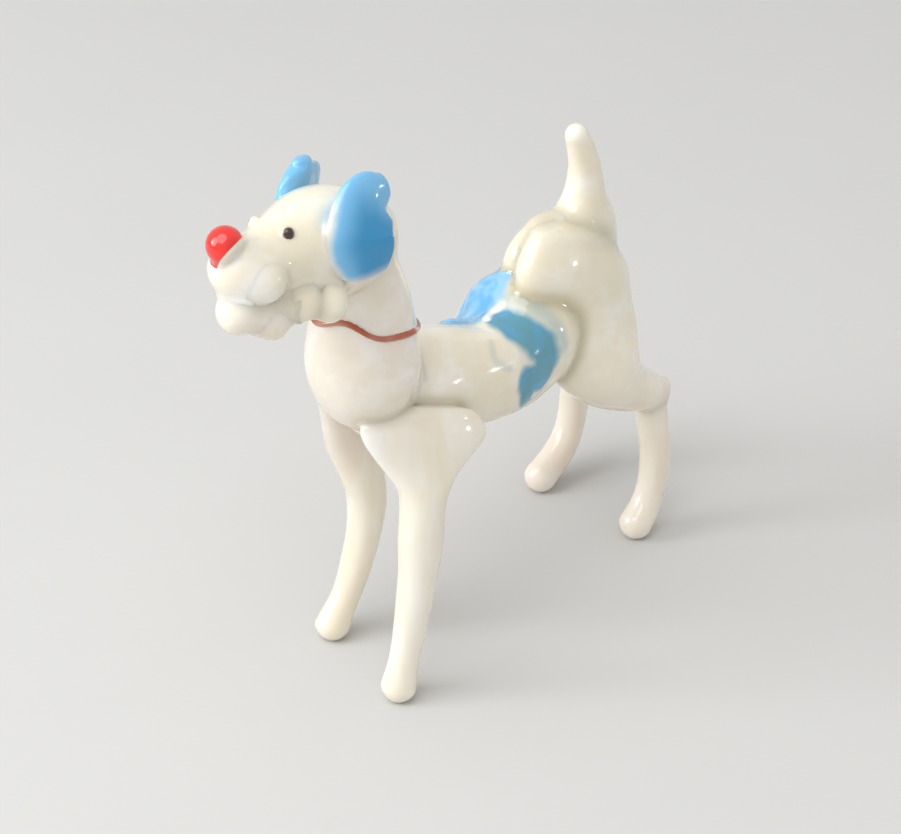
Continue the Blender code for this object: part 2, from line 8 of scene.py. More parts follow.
import bpy
import numpy as np
from bpy.props import FloatProperty, FloatVectorProperty, PointerProperty
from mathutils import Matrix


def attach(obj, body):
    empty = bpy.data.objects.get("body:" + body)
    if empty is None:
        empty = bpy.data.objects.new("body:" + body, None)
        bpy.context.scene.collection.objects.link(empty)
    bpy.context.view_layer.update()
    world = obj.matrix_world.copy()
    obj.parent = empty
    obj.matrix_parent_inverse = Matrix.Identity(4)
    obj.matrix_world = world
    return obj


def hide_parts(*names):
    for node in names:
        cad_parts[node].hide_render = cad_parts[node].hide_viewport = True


bl_info = {
    "name": "Lampworked Glass Terrier",
    "version": (1, 0, 0),
    "blender": (4, 5, 0),
    "location": "View3D > Sidebar > Glass Terrier",
    "description": "Skins, glass colours and studio of a small lampworked terrier",
    "category": "Object",
}

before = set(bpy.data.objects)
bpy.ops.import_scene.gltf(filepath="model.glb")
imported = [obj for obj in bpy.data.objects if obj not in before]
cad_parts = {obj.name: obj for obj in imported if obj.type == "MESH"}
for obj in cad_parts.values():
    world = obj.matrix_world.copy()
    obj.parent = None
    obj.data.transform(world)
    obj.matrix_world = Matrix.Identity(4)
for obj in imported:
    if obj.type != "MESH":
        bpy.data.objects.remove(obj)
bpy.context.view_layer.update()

# Trunk
CHEST_PLACE = -0.0085
CHEST_HEIGHT = 0.0242
CHEST_RADIUS = 0.0043
TORSO_LENGTH = 0.0169
TORSO_RADIUS = 0.0044
TORSO_SAG = 0.0003
RUMP_HEIGHT = 0.0207
DOME_LIFT = 0.0013
BACK_DIP = 0.00135

# Neck and head
NECK_HEIGHT = 0.0150
NECK_LEAN = 0.0028
NECK_RADIUS = 0.0031
HEAD_TILT = math.radians(8)
HEAD_ROLL = math.radians(5)
SKULL_RADIUS = 0.0039
SNOUT_LENGTH = 0.0108
SNOUT_RADIUS = 0.0022
SNOUT_RISE = 0.0006
BROW_RISE = 0.0005
JAW_DROP = 0.0026
JAW_RADIUS = 0.0022
CHIN_RADIUS = 0.0017
LIP_RADIUS = 0.00148
BEARD_RADIUS = 0.00135
CHEEK_RADIUS = 0.00130
JOWL_RADIUS = 0.00135
NOSE_RADIUS = 0.00140
EYE_RADIUS = 0.00048
EAR_LENGTH = 0.0053
EAR_BREADTH = 0.0027
EAR_THICKNESS = 0.0009
EAR_TIP_RADIUS = 0.0007
EAR_TIP_PLACE = 0.0003
LEFT_EAR_TURN = math.radians(24)
RIGHT_EAR_TURN = math.radians(11)
LEFT_EAR_LEAN = 0.0028
RIGHT_EAR_LEAN = 0.0003
COLLAR_TILT = math.radians(19)

# Front legs
SHOULDER_SPREAD = 0.0041
BLADE_LENGTH = 0.0108
BLADE_THICKNESS = 0.0015
BLADE_SET = 0.0012
BLADE_DROP = 0.0020
BLADE_SLOPE = 17
BLADE_TURN = math.radians(20)
ELBOW_FLARE = 0.0009
ELBOW_DROP = 0.0064
FOREARM_RADIUS = 0.00175
SHANK_RADIUS = 0.00125
FOOT_RADIUS = 0.00138
SOLE_DEPTH = 0.00012
FRONT_FOOT_SPREAD = 0.0046
LEFT_FRONT_STEP = 0.0025
RIGHT_FRONT_STEP = -0.0002
RIGHT_LEG_BOW = 0.0028
RIGHT_LEG_TRAIL = 0.0006
RIGHT_BLADE_LIFT = 0.0014

# Hind legs and tail
HAUNCH_LENGTH = 0.0136
HAUNCH_HEIGHT = 0.0080
HAUNCH_THICKNESS = 0.0030
HAUNCH_SET = 0.0056
RIGHT_HAUNCH_SHIFT = 0.0013
RIGHT_HAUNCH_TUCK = 0.0006
HOCK_SET = 0.0112
HOCK_HEIGHT = 0.0136
HOCK_RADIUS = 0.0017
HIND_FOOT_SPREAD = 0.0052
LEFT_HIND_STEP = 0.0013
RIGHT_HIND_STEP = 0.0022
LEFT_ANKLE_TRAIL = 0.0010
RIGHT_ANKLE_TRAIL = 0.0022
TAIL_LENGTH = 0.0092
TAIL_SET = 0.0018
TAIL_SUNK = 0.0010
TAIL_TIP_RADIUS = 0.00095

# Saddle markings
PATCH_THICKNESS = 0.0010
BACK_RISE = 0.0001
BAND_WIDTH = 0.0036

# Fineness of the skins, and the blur with which one skin feels another
DOME_RINGS = 18
BLUR = 0.00035
SMALL_BLUR = 0.00018
CHUNK = 6_000_000          # most pairs of places that are compared at once
FEEL_REACH = 0.0012        # how far off a skin feels its neighbours at least
FAR_OFF = 0.01             # the gap that stands for a neighbour too far away to be felt
CREASE_SHADE_REACH = 0.0006      # how far from the bottom of a crease its painted olive shade reaches
SINK = 0.4                 # how steeply a skin dips under its neighbour's past the middle of a joint
SHARP_SINK = 4.0           # the same, between glass of two colours
COLOURED = ("collar", "eye_left", "eye_right", "ear_left", "ear_right")
RIPPLE_RUNS = np.array([[1900.0, 700.0, 500.0], [-600.0, 1500.0, 900.0], [500.0, -900.0, 1700.0]])
RIPPLE_STARTS = np.array([1.0, 2.1, 3.7])


def vector(x, y, z):
    """A place or a direction."""
    return np.array([x, y, z])


LEFT, RIGHT = 1, -1
SIDES = (("left", LEFT), ("right", RIGHT))
X_AXIS = vector(1.0, 0.0, 0.0)
Z_AXIS = vector(0.0, 0.0, 1.0)
CHEST = vector(0.0, CHEST_PLACE, CHEST_HEIGHT)
RUMP = vector(0.0, CHEST_PLACE + TORSO_LENGTH, RUMP_HEIGHT)
SKULL = CHEST + vector(0.0, -NECK_LEAN, NECK_HEIGHT)
SNOUT_WAY = vector(0.0, -math.cos(HEAD_TILT), math.sin(HEAD_TILT))
UPRIGHT = vector(0.0, math.sin(HEAD_TILT), math.cos(HEAD_TILT))
CROWN_WAY = math.cos(HEAD_ROLL) * UPRIGHT - math.sin(HEAD_ROLL) * X_AXIS
LEFT_WAY = math.cos(HEAD_ROLL) * X_AXIS + math.sin(HEAD_ROLL) * UPRIGHT


def length(name, description, default, least, most):
    """A length setting of the panel."""
    return FloatProperty(name=name, description=description, default=default, min=least, max=most,
                         precision=6, subtype="DISTANCE", unit="LENGTH")


class TerrierSizes(bpy.types.PropertyGroup):
    """Sizes of the skins that the solids leave open."""

    melt: FloatProperty(
        name="Melt",
        description="How far the gathers have run into each other, as a share of the usual reach",
        default=1.0, min=0.2, max=1.5, subtype="FACTOR")
    ripple: length("Ripple", "Height of the soft waves that the flame leaves in the glass",
                   0.00003, 0.0, 0.0002)
    thread: length("Collar thread", "Radius of the thread wound round the neck",
                   0.00023, 0.0001, 0.0006)
    patch_rise: length("Marking rise", "How far the blue markings stand proud of the torso",
                       0.00009, 0.0, 0.0006)


def glass_colour(name, description, value):
    """A colour setting of the panel."""
    return FloatVectorProperty(name=name, description=description, default=value, min=0.0, max=1.0,
                               size=3, subtype="COLOR")


class TerrierColours(bpy.types.PropertyGroup):
    """Colours of the glass rods that the dog is drawn from, and of the studio."""

    cream: glass_colour("Cream", "Opal glass where it is thick", (0.85, 0.785, 0.61))
    rose: glass_colour("Rose", "Opal glass that stayed long in the flame", (0.85, 0.755, 0.665))
    milk: glass_colour("Milk", "Opal glass where it is thin or worked hard", (0.91, 0.90, 0.86))
    # painted shade: the olive laid into the creases between gathers, also borrowed by the grey streak on the
    # torso
    crease: glass_colour("Crease", "Opal glass deep between two gathers", (0.50, 0.43, 0.25))
    blue: glass_colour("Blue", "Deep blue glass", (0.030, 0.275, 0.545))
    pale_blue: glass_colour("Pale blue", "Blue glass stretched over the opal", (0.19, 0.51, 0.81))
    teal: glass_colour("Teal", "Blue glass with the cream showing through", (0.12, 0.345, 0.440))
    red: glass_colour("Red", "Red glass of the nose", (0.850, 0.030, 0.022))
    thread: glass_colour("Thread", "Red-brown glass of the collar", (0.440, 0.085, 0.024))
    brown: glass_colour("Brown", "Dark glass of the eyes", (0.055, 0.027, 0.018))
    floor: glass_colour("Floor", "Floor and backdrop of the studio", (0.62, 0.615, 0.605))


# Surfaces

class Skin:
    """Places and outward ways of one piece: rings along it, places round each ring.

    The first and the last ring of a closed piece are poles. A looped piece joins its last ring to its first.
    """

    def __init__(self, points, looped=False, blur=BLUR, coloured=False):
        self.points = points
        self.looped = looped
        self.blur = blur
        self.coloured = coloured
        self.shares = {}
        self.inward = False
        self.measure()

    def measure(self):
        """Outward ways: the cross product of the steps round and along, from central differences."""
        around = np.roll(self.points, -1, axis=1) - np.roll(self.points, 1, axis=1)
        if self.looped:
            along = np.roll(self.points, -1, axis=0) - np.roll(self.points, 1, axis=0)
        else:
            along = np.gradient(self.points, axis=0)
        ways = np.cross(around, along)
        self.inward = float(np.sum(ways * (self.points - self.points.mean(axis=(0, 1))))) < 0
        if self.looped:
            rims = self.points - self.points.mean(axis=1, keepdims=True)
            self.inward = float(np.sum(ways * rims)) < 0
        if self.inward:
            ways = -ways
        if not self.looped:
            ways[0] = ways[1].mean(axis=0)
            ways[-1] = ways[-2].mean(axis=0)
        self.areas = np.linalg.norm(ways, axis=-1)
        self.ways = ways / np.maximum(self.areas, 1e-16)[..., None]

    def shifted(self, rise):
        """The skin moved outwards by a height given at each place."""
        return Skin(self.points + rise[..., None] * self.ways, self.looped, self.blur, self.coloured)

    def felt(self):
        """Places, ways and areas of every second ring, flat, as another skin feels them."""
        places = self.points[::2, ::2].reshape(-1, 3)
        ways = self.ways[::2, ::2].reshape(-1, 3)
        return places, ways, self.areas[::2, ::2].ravel() + 1e-12


def unit(vectors):
    """Scale each vector to length one."""
    vectors = np.asarray(vectors, dtype=float)
    return vectors / np.linalg.norm(vectors, axis=-1, keepdims=True)


def held(values):
    """Keep values between zero and one."""
    return np.clip(values, 0.0, 1.0)


def full_turn(count):
    """Evenly spaced angles once round."""
    return np.linspace(0, 2 * math.pi, count, endpoint=False)


def spline(rows, count):
    """Read the natural cubic spline through evenly spaced rows at evenly spaced places.

    The bends at the rows solve bend[i-1] + 4 bend[i] + bend[i+1] = 6 (row[i-1] - 2 row[i] + row[i+1]).
    """
    rows = np.asarray(rows, dtype=float)
    last = len(rows) - 1
    bends = np.zeros_like(rows)
    if last > 1:
        matrix = 4 * np.eye(last - 1) + np.eye(last - 1, k=1) + np.eye(last - 1, k=-1)
        bends[1:-1] = np.linalg.solve(matrix, 6 * (rows[:-2] - 2 * rows[1:-1] + rows[2:]))
    place = np.linspace(0, last, count)
    piece = np.minimum(place.astype(int), last - 1)
    t = (place - piece)[:, None]
    straight = rows[piece] * (1 - t) + rows[piece + 1] * t
    return straight + ((1 - t) ** 3 - 1 + t) * bends[piece] / 6 + (t**3 - t) * bends[piece + 1] / 6


def dome_rings(centres, half_side, half_depth, way, reach):
    """Rings past the end of a spine, from its last section to the pole.

    At angle p the ring lies reach * sin(p) further on and is the last section times cos(p). The slopes that
    the spine has at its end fade out on the way, so that the dome starts smoothly.
    """
    angles = np.linspace(0, math.pi / 2, DOME_RINGS + 1)[1:, None]
    out = reach * np.sin(angles)
    step = np.dot(centres[-1] - centres[-2], way)
    fading = out * (1 - out / reach) ** 2
    drift = (centres[-1] - centres[-2]) / step - way
    rings = [centres[-1] + out * way + fading * drift]
    for half in (half_side, half_depth):
        slope = (half[-1] - half[-2]) / step
        rings.append((half[-1] + fading * slope) * np.cos(angles))
    return rings


def oval_skin(rows, domes, along=120, around=96, across=X_AXIS, tilts=None, sole=False, blur=BLUR):
    """Skin of one gather: oval sections carried along a smooth spine and closed by round domes.

    At share s of the spine and turn a, the skin is at centre(s) + cos(a) side(s) + sin(a) depth(s).
    A section is square to the spine, or, with tilts, its depth rises by that many degrees to the rear.
    """
    across = unit(spline(np.broadcast_to(across, (len(rows), 3)), along))
    centres, sizes = np.split(spline(rows, along), [3], axis=1)
    run = unit(np.gradient(centres, axis=0))
    if tilts is None:
        side = unit(across - np.sum(run * across, axis=1, keepdims=True) * run)
        depth = np.cross(run, side)
        way = run
    else:
        slope = np.radians(spline(np.array(tilts, dtype=float)[:, None], along))
        side = across
        depth = np.cos(slope) * np.cross(Z_AXIS, across) + np.sin(slope) * Z_AXIS
        way = np.cross(side, depth)
        way *= np.sign(np.sum(way * run, axis=1, keepdims=True))
    body = [centres, side * sizes[:, 0:1], depth * sizes[:, 1:2]]
    front = dome_rings(*(part[::-1] for part in body), -way[0], domes[0])
    rear = dome_rings(*body, way[-1], domes[1])
    centres, side, depth = (np.vstack([first[::-1], middle, last])
                            for first, middle, last in zip(front, body, rear))
    turns = full_turn(around)[None, :, None]
    points = centres[:, None] + np.cos(turns) * side[:, None] + np.sin(turns) * depth[:, None]
    if sole:
        points[..., 2] = 0.5 * (points[..., 2] + np.hypot(points[..., 2], 0.3 * SOLE_DEPTH))
    return Skin(points, blur=blur)


def bead_skin(centre, radius, stretch=(1.0, 1.0, 1.0), along=56, around=64, taper=0.0):
    """Skin of a small dot: a globe that narrows below its middle by a share of its squared depth."""
    down = np.linspace(0, math.pi, along)[:, None, None]
    turns = full_turn(around)[None, :, None]
    height = np.cos(down) + 0 * turns
    wide = np.sin(down) * (1 - taper * np.minimum(height, 0.0) ** 2)
    globe = np.concatenate([wide * np.cos(turns), wide * np.sin(turns), height], axis=2)
    return Skin(np.asarray(centre) + radius * np.asarray(stretch) * globe, blur=SMALL_BLUR)


def rippled(skin, height, start):
    """Move a skin in and out by the mean of three slow sine waves that run in different directions."""
    waves = np.sin(skin.points @ RIPPLE_RUNS.T + start * RIPPLE_STARTS)
    return skin.shifted(height * waves.mean(axis=-1))


def feel(points, other, reach):
    """Where places lie near a skin: which ones, how far outside it, and its way out there.

    Both are means over the skin's places q with way n: of n, and of n . (p - q), with the weight
    area * exp((nearest gap squared - gap squared) / blur squared).
    """
    places, ways, areas = other.felt()
    near = np.all((points > places.min(axis=0) - reach) & (points < places.max(axis=0) + reach), axis=1)
    chosen = np.nonzero(near)[0]
    if not len(chosen):
        return chosen, np.zeros(0), np.zeros((0, 3))
    margin = reach + 4 * other.blur
    low, high = points[chosen].min(axis=0) - margin, points[chosen].max(axis=0) + margin
    used = np.all((places > low) & (places < high), axis=1)
    places, ways, areas = places[used], ways[used], areas[used]
    if len(places) < 4:
        return chosen[:0], np.zeros(0), np.zeros((0, 3))
    level = np.sum(places * ways, axis=1)
    gaps, outs = [], []
    for part in np.array_split(chosen, 1 + len(chosen) * len(places) // CHUNK):
        here = points[part]
        squares = np.sum(here**2, axis=1)[:, None] + np.sum(places**2, axis=1) - 2 * here @ places.T
        weights = areas * np.exp((squares.min(axis=1, keepdims=True) - squares) / other.blur**2)
        weights /= weights.sum(axis=1, keepdims=True)
        out = weights @ ways
        gaps.append(np.sum(here * out, axis=1) - weights @ level)
        outs.append(out / np.maximum(np.linalg.norm(out, axis=1, keepdims=True), 1e-9))
    return chosen, np.concatenate(gaps), np.vstack(outs)


def union_rise(gap, opening, reach):
    """How far a skin rises to the smooth union with a neighbour at a gap, and how far past the middle it is.

    The union is where (a + b) / 2 - reach / 4 - (a - b) squared / (4 reach) is zero. At a rise t, a is t and
    b is gap + (1 - m) t, with the opening m; so t is (2 reach - m g - 2 sqrt(reach (reach - m g))) / m
    squared with g = reach - gap. The two skins share the middle, gap = m reach / 4.
    """
    lowest = reach * (1.02 - 1 / opening)
    inside = reach - np.maximum(gap, lowest)
    root = np.sqrt(np.maximum(reach * (reach - opening * inside), 0.0))
    rise = (2 * reach - opening * inside - 2 * root) / opening**2
    rise = np.where(gap < reach, rise, 0.0)
    return rise, np.maximum(opening * reach / 4 - gap, 0.0)


def union_miss(height, gap, facing, reach):
    """How far a risen place is past the smooth union: its value there over its slope along the rise.

    The slope is 1 - s (1 - facing), with the neighbour's share s = (reach + height - gap) / (2 reach).
    """
    over = height - gap
    blended = 0.5 * (height + gap) - 0.25 * reach - over**2 / (4 * reach)
    value = np.where(np.abs(over) < reach, blended, np.minimum(height, gap))
    slope = 1 - held(0.5 + over / (2 * reach)) * (1 - facing)
    return np.clip(value / np.maximum(slope, 0.4), -0.2 * reach, 0.2 * reach)


def melted(skin, others, melt=1.0):
    """Run a skin into its neighbours, as softened glass does.

    Each place rises to the smooth union, corrected once by the gap found at the risen place. Past the middle
    of a joint the skin sinks under its neighbour's, slowly at first. The rise fades out deep inside the
    neighbour, and where the two skins face each other. The skin's ways lean over to the neighbour's.
    """
    shape = skin.points.shape[:2]
    points = skin.points.reshape(-1, 3)
    ways = skin.ways.reshape(-1, 3)
    rise = np.zeros(len(points))
    lean = np.zeros((len(points), 3))
    leaning = np.zeros(len(points))
    # painted shade: how strongly olive shade is laid into the creases at each place
    crease = np.zeros(len(points))
    shares = {}
    for name, other, reach, depth in others:
        reach = reach * melt
        sink = SHARP_SINK if skin.coloured or other.coloured else SINK
        chosen, gaps, outs = feel(points, other, max(reach, FEEL_REACH))
        closeness = np.full(len(points), FAR_OFF)
        closeness[chosen] = gaps
        shares[name] = closeness.reshape(shape)
        opening = np.clip(1 - np.sum(ways[chosen] * outs, axis=1), 0.05, 2.0)
        beside = np.maximum(gaps - opening * reach / 4, 0.0)
        # painted shade near the bottom of the joint, as strong as the pair's depth value
        crease[chosen] = np.maximum(crease[chosen], depth * np.exp(-(beside / CREASE_SHADE_REACH) ** 2))
        height, past = union_rise(gaps, opening, reach)
        risen = (height > 1e-6) & (gaps > -0.5 * reach)
        again = chosen[risen]
        if len(again):
            found, gap, out = feel(points[again] + height[risen, None] * ways[again], other, reach)
            part = np.nonzero(risen)[0][found]
            height[part] -= union_miss(height[part], gap, np.sum(ways[chosen[part]] * out, axis=1), reach)
            outs[part] = out
        height = np.maximum(height - sink * past**2 / reach, 0.0)
        height *= held(1 + (gaps / reach + 0.1) / 0.4)
        height *= held((1.8 - opening) / 0.4)
        height *= held(1 - (1.02 - 1 / opening - gaps / reach) / 0.4)
        rise[chosen] = np.hypot(rise[chosen], height)
        share = held((reach - gaps + opening * height) / (2 * reach))
        lean[chosen] += share[:, None] * outs
        leaning[chosen] += share
    moved = skin.shifted(rise.reshape(shape))
    kept = np.maximum(1 - leaning, 0.03)[:, None]
    moved.ways = unit(kept * ways + lean).reshape(*shape, 3)
    moved.shares = shares
    moved.shares["crease"] = crease.reshape(shape)
    return moved


def skin_faces(skin):
    """The places that a skin keeps, and its faces: quads between the rings and fans at the poles."""
    rings, around = skin.points.shape[:2]
    grid = np.arange(rings * around).reshape(rings, around)
    if skin.looped:
        grid = np.vstack([grid, grid[:1]])
        kept = np.arange(rings * around)
    else:
        grid[0] = 0
        grid[1:-1] = np.arange(1, (rings - 2) * around + 1).reshape(rings - 2, around)
        grid[-1] = (rings - 2) * around + 1
        kept = np.concatenate([[0], np.arange(around, (rings - 1) * around), [(rings - 1) * around]])
    after = np.roll(grid, -1, axis=1)
    if skin.inward:
        quads = np.stack([grid[:-1], grid[1:], after[1:], after[:-1]], axis=-1)
    else:
        quads = np.stack([grid[:-1], after[:-1], after[1:], grid[1:]], axis=-1)
    if skin.looped:
        return kept, quads.reshape(-1, 4).tolist()
    first, last = quads[0], quads[-1]
    fan = first[:, 1:] if skin.inward else first[:, [0, 2, 3]]
    cap = last[:, [0, 1, 3]] if skin.inward else last[:, :3]
    return kept, quads[1:-1].reshape(-1, 4).tolist() + fan.tolist() + cap.tolist()


def add_skin(name, skin, material, tints):
    """Put a skin into a mesh with one value a place for each tint, in place of its solid on the dog."""
    kept, faces = skin_faces(skin)
    mesh = bpy.data.meshes.new(name)
    mesh.from_pydata(skin.points.reshape(-1, 3)[kept].tolist(), [], faces)
    for tint, values in tints:
        layer = mesh.attributes.new(tint, "FLOAT", "POINT")
        layer.data.foreach_set("value", values.ravel()[kept].astype(np.float32))
    mesh.shade_smooth()
    mesh.normals_split_custom_set_from_vertices(skin.ways.reshape(-1, 3)[kept].tolist())
    mesh.materials.append(material)
    piece = bpy.data.objects.new("glass_" + name, mesh)
    bpy.context.scene.collection.objects.link(piece)
    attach(piece, "root")
    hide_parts(name)


# Shapes of the gathers

def torso_rows():
    """The barrel of the dog: a sagging cylinder that swells to a round dome behind."""
    rows = []
    shape = ((0.08, 0.74, 0.0), (0.25, 0.94, 0.0), (0.5, 0.98, 0.0), (0.8, 1.08, 0.1), (1.0, 1.14, 1.0))
    for along, swell, lift in shape:
        centre = CHEST + (RUMP - CHEST) * along
        centre += (DOME_LIFT * lift - TORSO_SAG * math.sin(math.pi * along)) * Z_AXIS
        rows.append((*centre, TORSO_RADIUS * swell, TORSO_RADIUS * swell))
    return rows


DIP_PLACE = 0.75           # the dip in the back, as a share of the torso's length
DIP_FRONT = 0.15           # its reach to the front
DIP_REAR = 0.14            # its reach to the rear
DIP_TURN = -0.5            # its turn from the top, in radians to the left


def back_dip(along, turn):
    """How far the back is pressed in before the dome.

    It is BACK_DIP times exp(-((along - place) / reach) squared) times cos(turn - middle turn) squared.
    """
    reach = np.where(along < DIP_PLACE, DIP_FRONT, DIP_REAR)
    beside = np.maximum(np.cos(turn - DIP_TURN), 0.0)
    return BACK_DIP * np.exp(-((along - DIP_PLACE) / reach) ** 2) * beside**2


def dipped(skin):
    """The torso's skin pressed in at the back."""
    along = (skin.points[..., 1] - CHEST[1]) / (RUMP[1] - CHEST[1])
    middle = CHEST[2] + (RUMP[2] - CHEST[2]) * along
    turn = np.arctan2(skin.points[..., 0], skin.points[..., 2] - middle)
    return skin.shifted(-back_dip(along, turn))


def on_torso(along, turn):
    """A place on the torso and the way out, by share of the length and turn from the top to the left."""
    rows = np.array(torso_rows())
    shares = (rows[:, 1] - CHEST[1]) / (RUMP[1] - CHEST[1])
    centre = np.array([np.interp(along, shares, rows[:, k]) for k in range(3)])
    radius = np.interp(along, shares, rows[:, 3]) - back_dip(along, turn)
    out = math.cos(turn) * np.cross(X_AXIS, unit(RUMP - CHEST)) + math.sin(turn) * X_AXIS
    return centre + out * radius, out


def patch_skin(shape):
    """A dab melted into the torso: share of the length, turn, half width and rise of its middle line."""
    places, ways_out = zip(*(on_torso(along, math.radians(turn)) for along, turn, _, _ in shape))
    rows = []
    for place, out, (_, _, wide, rise) in zip(places, ways_out, shape):
        thick = max(0.5 * PATCH_THICKNESS, rise)
        rows.append((*(place + (rise - thick) * out), wide, thick))
    run = unit(np.gradient(np.array(places), axis=0))
    return oval_skin(rows, (shape[0][2], shape[-1][2]), along=120, around=80, across=np.cross(run, ways_out),
                     blur=SMALL_BLUR)


def saddle_skins(rise):
    """The patch heaped on the back and the hooked band down the left side."""
    wide = BAND_WIDTH / 2
    back = ((0.58, -16, 0.42 * wide, rise), (0.66, -16, 0.66 * wide, rise),
            (0.75, -16, 0.84 * wide, rise), (0.86, -20, wide, BACK_RISE))
    hook = ((0.75, 21, 0.85 * wide, rise), (0.80, 37, wide, rise), (0.83, 53, 1.08 * wide, rise),
            (0.84, 70, 1.12 * wide, rise), (0.85, 84, 1.05 * wide, rise), (0.82, 98, 0.80 * wide, rise),
            (0.78, 111, 0.52 * wide, rise), (0.75, 124, 0.30 * wide, rise))
    return {"saddle_back": patch_skin(back), "saddle_left": patch_skin(hook)}


# The middle lines of the markings: share of the torso's length, turn, and half width in millimetres
MARKS = {
    "back": ((0.56, -16, 1.0), (0.62, -20, 1.5), (0.69, -29, 2.0), (0.76, -32, 2.2), (0.84, -30, 2.4),
             (0.92, -24, 2.0), (0.98, -22, 1.9)),
    "hook": ((0.735, 17, 0.9), (0.76, 28, 1.45), (0.785, 42, 1.6), (0.82, 56, 1.6), (0.86, 70, 1.55),
             (0.86, 83, 1.5), (0.83, 90, 1.3), (0.77, 88, 1.25), (0.76, 100, 0.85), (0.78, 113, 0.60),
             (0.81, 126, 0.42)),
    "glaze": ((0.86, -2, 0.8), (0.87, 18, 1.0), (0.90, 38, 1.1), (0.95, 58, 1.0), (0.98, 78, 0.8)),
    "streak": ((0.71, 9, 0.35), (0.77, 4, 0.50), (0.84, 8, 0.50)),
    "grey": ((0.85, 17, 0.16), (0.865, 27, 0.22), (0.87, 36, 0.14)),
    "pocket": ((0.60, 38, 0.30), (0.57, 50, 0.34), (0.58, 61, 0.34), (0.64, 70, 0.30)),
}
MARK_STEPS = 40            # places on the middle line of a marking


def mark_share(points, mark):
    """How near places are to the middle line of a marking: one on it, zero at twice its half width."""
    rows = [(*on_torso(along, math.radians(turn))[0], 0.001 * wide) for along, turn, wide in mark]
    line = spline(rows, MARK_STEPS)
    share = np.zeros(points.shape[:2])
    for place in line:
        gap = np.linalg.norm(points - place[:3], axis=-1) / place[3]
        share = np.maximum(share, 1 - 0.5 * gap)
    return share


def mark_tints(skin):
    """The values of opal glass and the nearness of each marking, as a mesh carries them."""
    return opal_tints(skin) + [(name, mark_share(skin.points, mark)) for name, mark in MARKS.items()]


def neck_rows():
    """Chest and neck: share of the height, shift along Y in chest radii, and radius."""
    chest, top = CHEST_RADIUS, NECK_RADIUS
    shape = ((-0.02, 0.07, 0.66 * chest), (0.10, -0.09, 0.90 * chest), (0.23, -0.16, chest),
             (0.34, -0.14, 0.98 * chest), (0.48, -0.05, 0.92 * chest), (0.67, 0.0, 0.46 * chest + 0.50 * top),
             (0.90, 0.0, top))
    rows = []
    for up, shift, radius in shape:
        centre = CHEST + (SKULL - CHEST) * vector(0.0, up**2, up)
        rows.append((0.0, centre[1] + shift * chest, centre[2], radius, radius))
    return rows


COLLAR_TURNS = 240         # places along the collar's thread
COLLAR_ROUND = 28          # places round it
COLLAR_WAVES = ((158, 18, 0.0004), (192, 18, -0.0004), (118, 24, -0.00035))     # turn, spread, height
THIN_SHEEN_PLACE = 62            # degrees from the back to the left, where the thread is drawn thin and a highlight is painted on it
THIN_SHEEN_REACH = 5             # over how many degrees


def collar_skin(thread):
    """A thread carried round the neck in a tilted plane.

    At turn a its middle is at radius r, found by repeating r = r * neck radius / distance from the neck's
    middle line at that height.
    """
    rows = spline(neck_rows(), 60)
    height = CHEST_HEIGHT + 0.50 * NECK_HEIGHT
    middle = vector(0.0, np.interp(height, rows[:, 2], rows[:, 1]), height)
    up = vector(0.0, math.sin(COLLAR_TILT), math.cos(COLLAR_TILT))
    turns = full_turn(COLLAR_TURNS)[:, None]
    out = np.sin(turns) * X_AXIS + np.cos(turns) * np.cross(up, X_AXIS)
    reach = np.full(len(turns), NECK_RADIUS)
    for _ in range(12):
        places = middle + reach[:, None] * out
        off_line = np.hypot(places[:, 0], places[:, 1] - np.interp(places[:, 2], rows[:, 2], rows[:, 1]))
        reach *= np.interp(places[:, 2], rows[:, 2], rows[:, 3]) / off_line
    around = full_turn(COLLAR_ROUND)[None, :, None]
    swell = thread * (1 + 0.12 * np.sin(2 * turns + 0.6) + 0.08 * np.sin(5 * turns))[:, None]
    ring = np.cos(around) * out[:, None] + np.sin(around) * up
    line = middle + reach[:, None] * out
    for turn, spread, height in COLLAR_WAVES:
        line += height * np.exp(-((np.degrees(turns) - turn) / spread) ** 2) * up
    return Skin(line[:, None] + swell * ring, looped=True, blur=SMALL_BLUR)


def head_point(along, up, side=0.0):
    """A place given along the snout, towards the crown and towards the dog's left."""
    return SKULL + along * SNOUT_WAY + up * CROWN_WAY + side * LEFT_WAY


def head_rise(share):
    """How far the middle line of the head lies above the straight snout line."""
    return SNOUT_RISE * share * abs(share) + BROW_RISE * math.sin(math.pi * min(max(1.25 * share, 0.0), 1.0))


def head_rows():
    """Skull and tapering snout: share of the snout length, and how much of the skull is left in the taper."""
    rows = []
    shape = ((-0.16, 0.55), (0.0, 0.92), (0.22, 1.04), (0.42, 0.82), (0.62, 0.42), (0.84, 0.10), (1.0, 0.0))
    for share, fullness in shape:
        radius = SNOUT_RADIUS + (SKULL_RADIUS - SNOUT_RADIUS) * fullness
        rows.append((*head_point(share * SNOUT_LENGTH, head_rise(share)), radius, radius))
    return rows


def on_head(share, angle, radius, sunk):
    """Centre of a bead on the head: share of the snout, turn down from the crown, how deep it has sunk."""
    shares = [(np.dot(np.array(row[:3]) - SKULL, SNOUT_WAY)) / SNOUT_LENGTH for row in head_rows()]
    reach = np.interp(share, shares, [row[3] for row in head_rows()]) + radius - sunk
    up = head_rise(share) + reach * math.cos(angle)
    return head_point(share * SNOUT_LENGTH, up, reach * math.sin(angle))


def jaw_point(share):
    """A place on the middle line of the jaw, under the snout."""
    return head_point(share * SNOUT_LENGTH, -JAW_DROP * math.sin(0.5 * math.pi * min(share * 1.15, 1.0)))


def jaw_skin():
    """The beard's core, from the throat to the chin."""
    rows = []
    for share, chin in ((0.28, 0.0), (0.55, 0.2), (0.80, 0.7), (1.0, 1.0)):
        radius = JAW_RADIUS + (CHIN_RADIUS - JAW_RADIUS) * chin
        rows.append((*jaw_point(share), radius, radius))
    return oval_skin(rows, (JAW_RADIUS, CHIN_RADIUS), along=80, around=88)


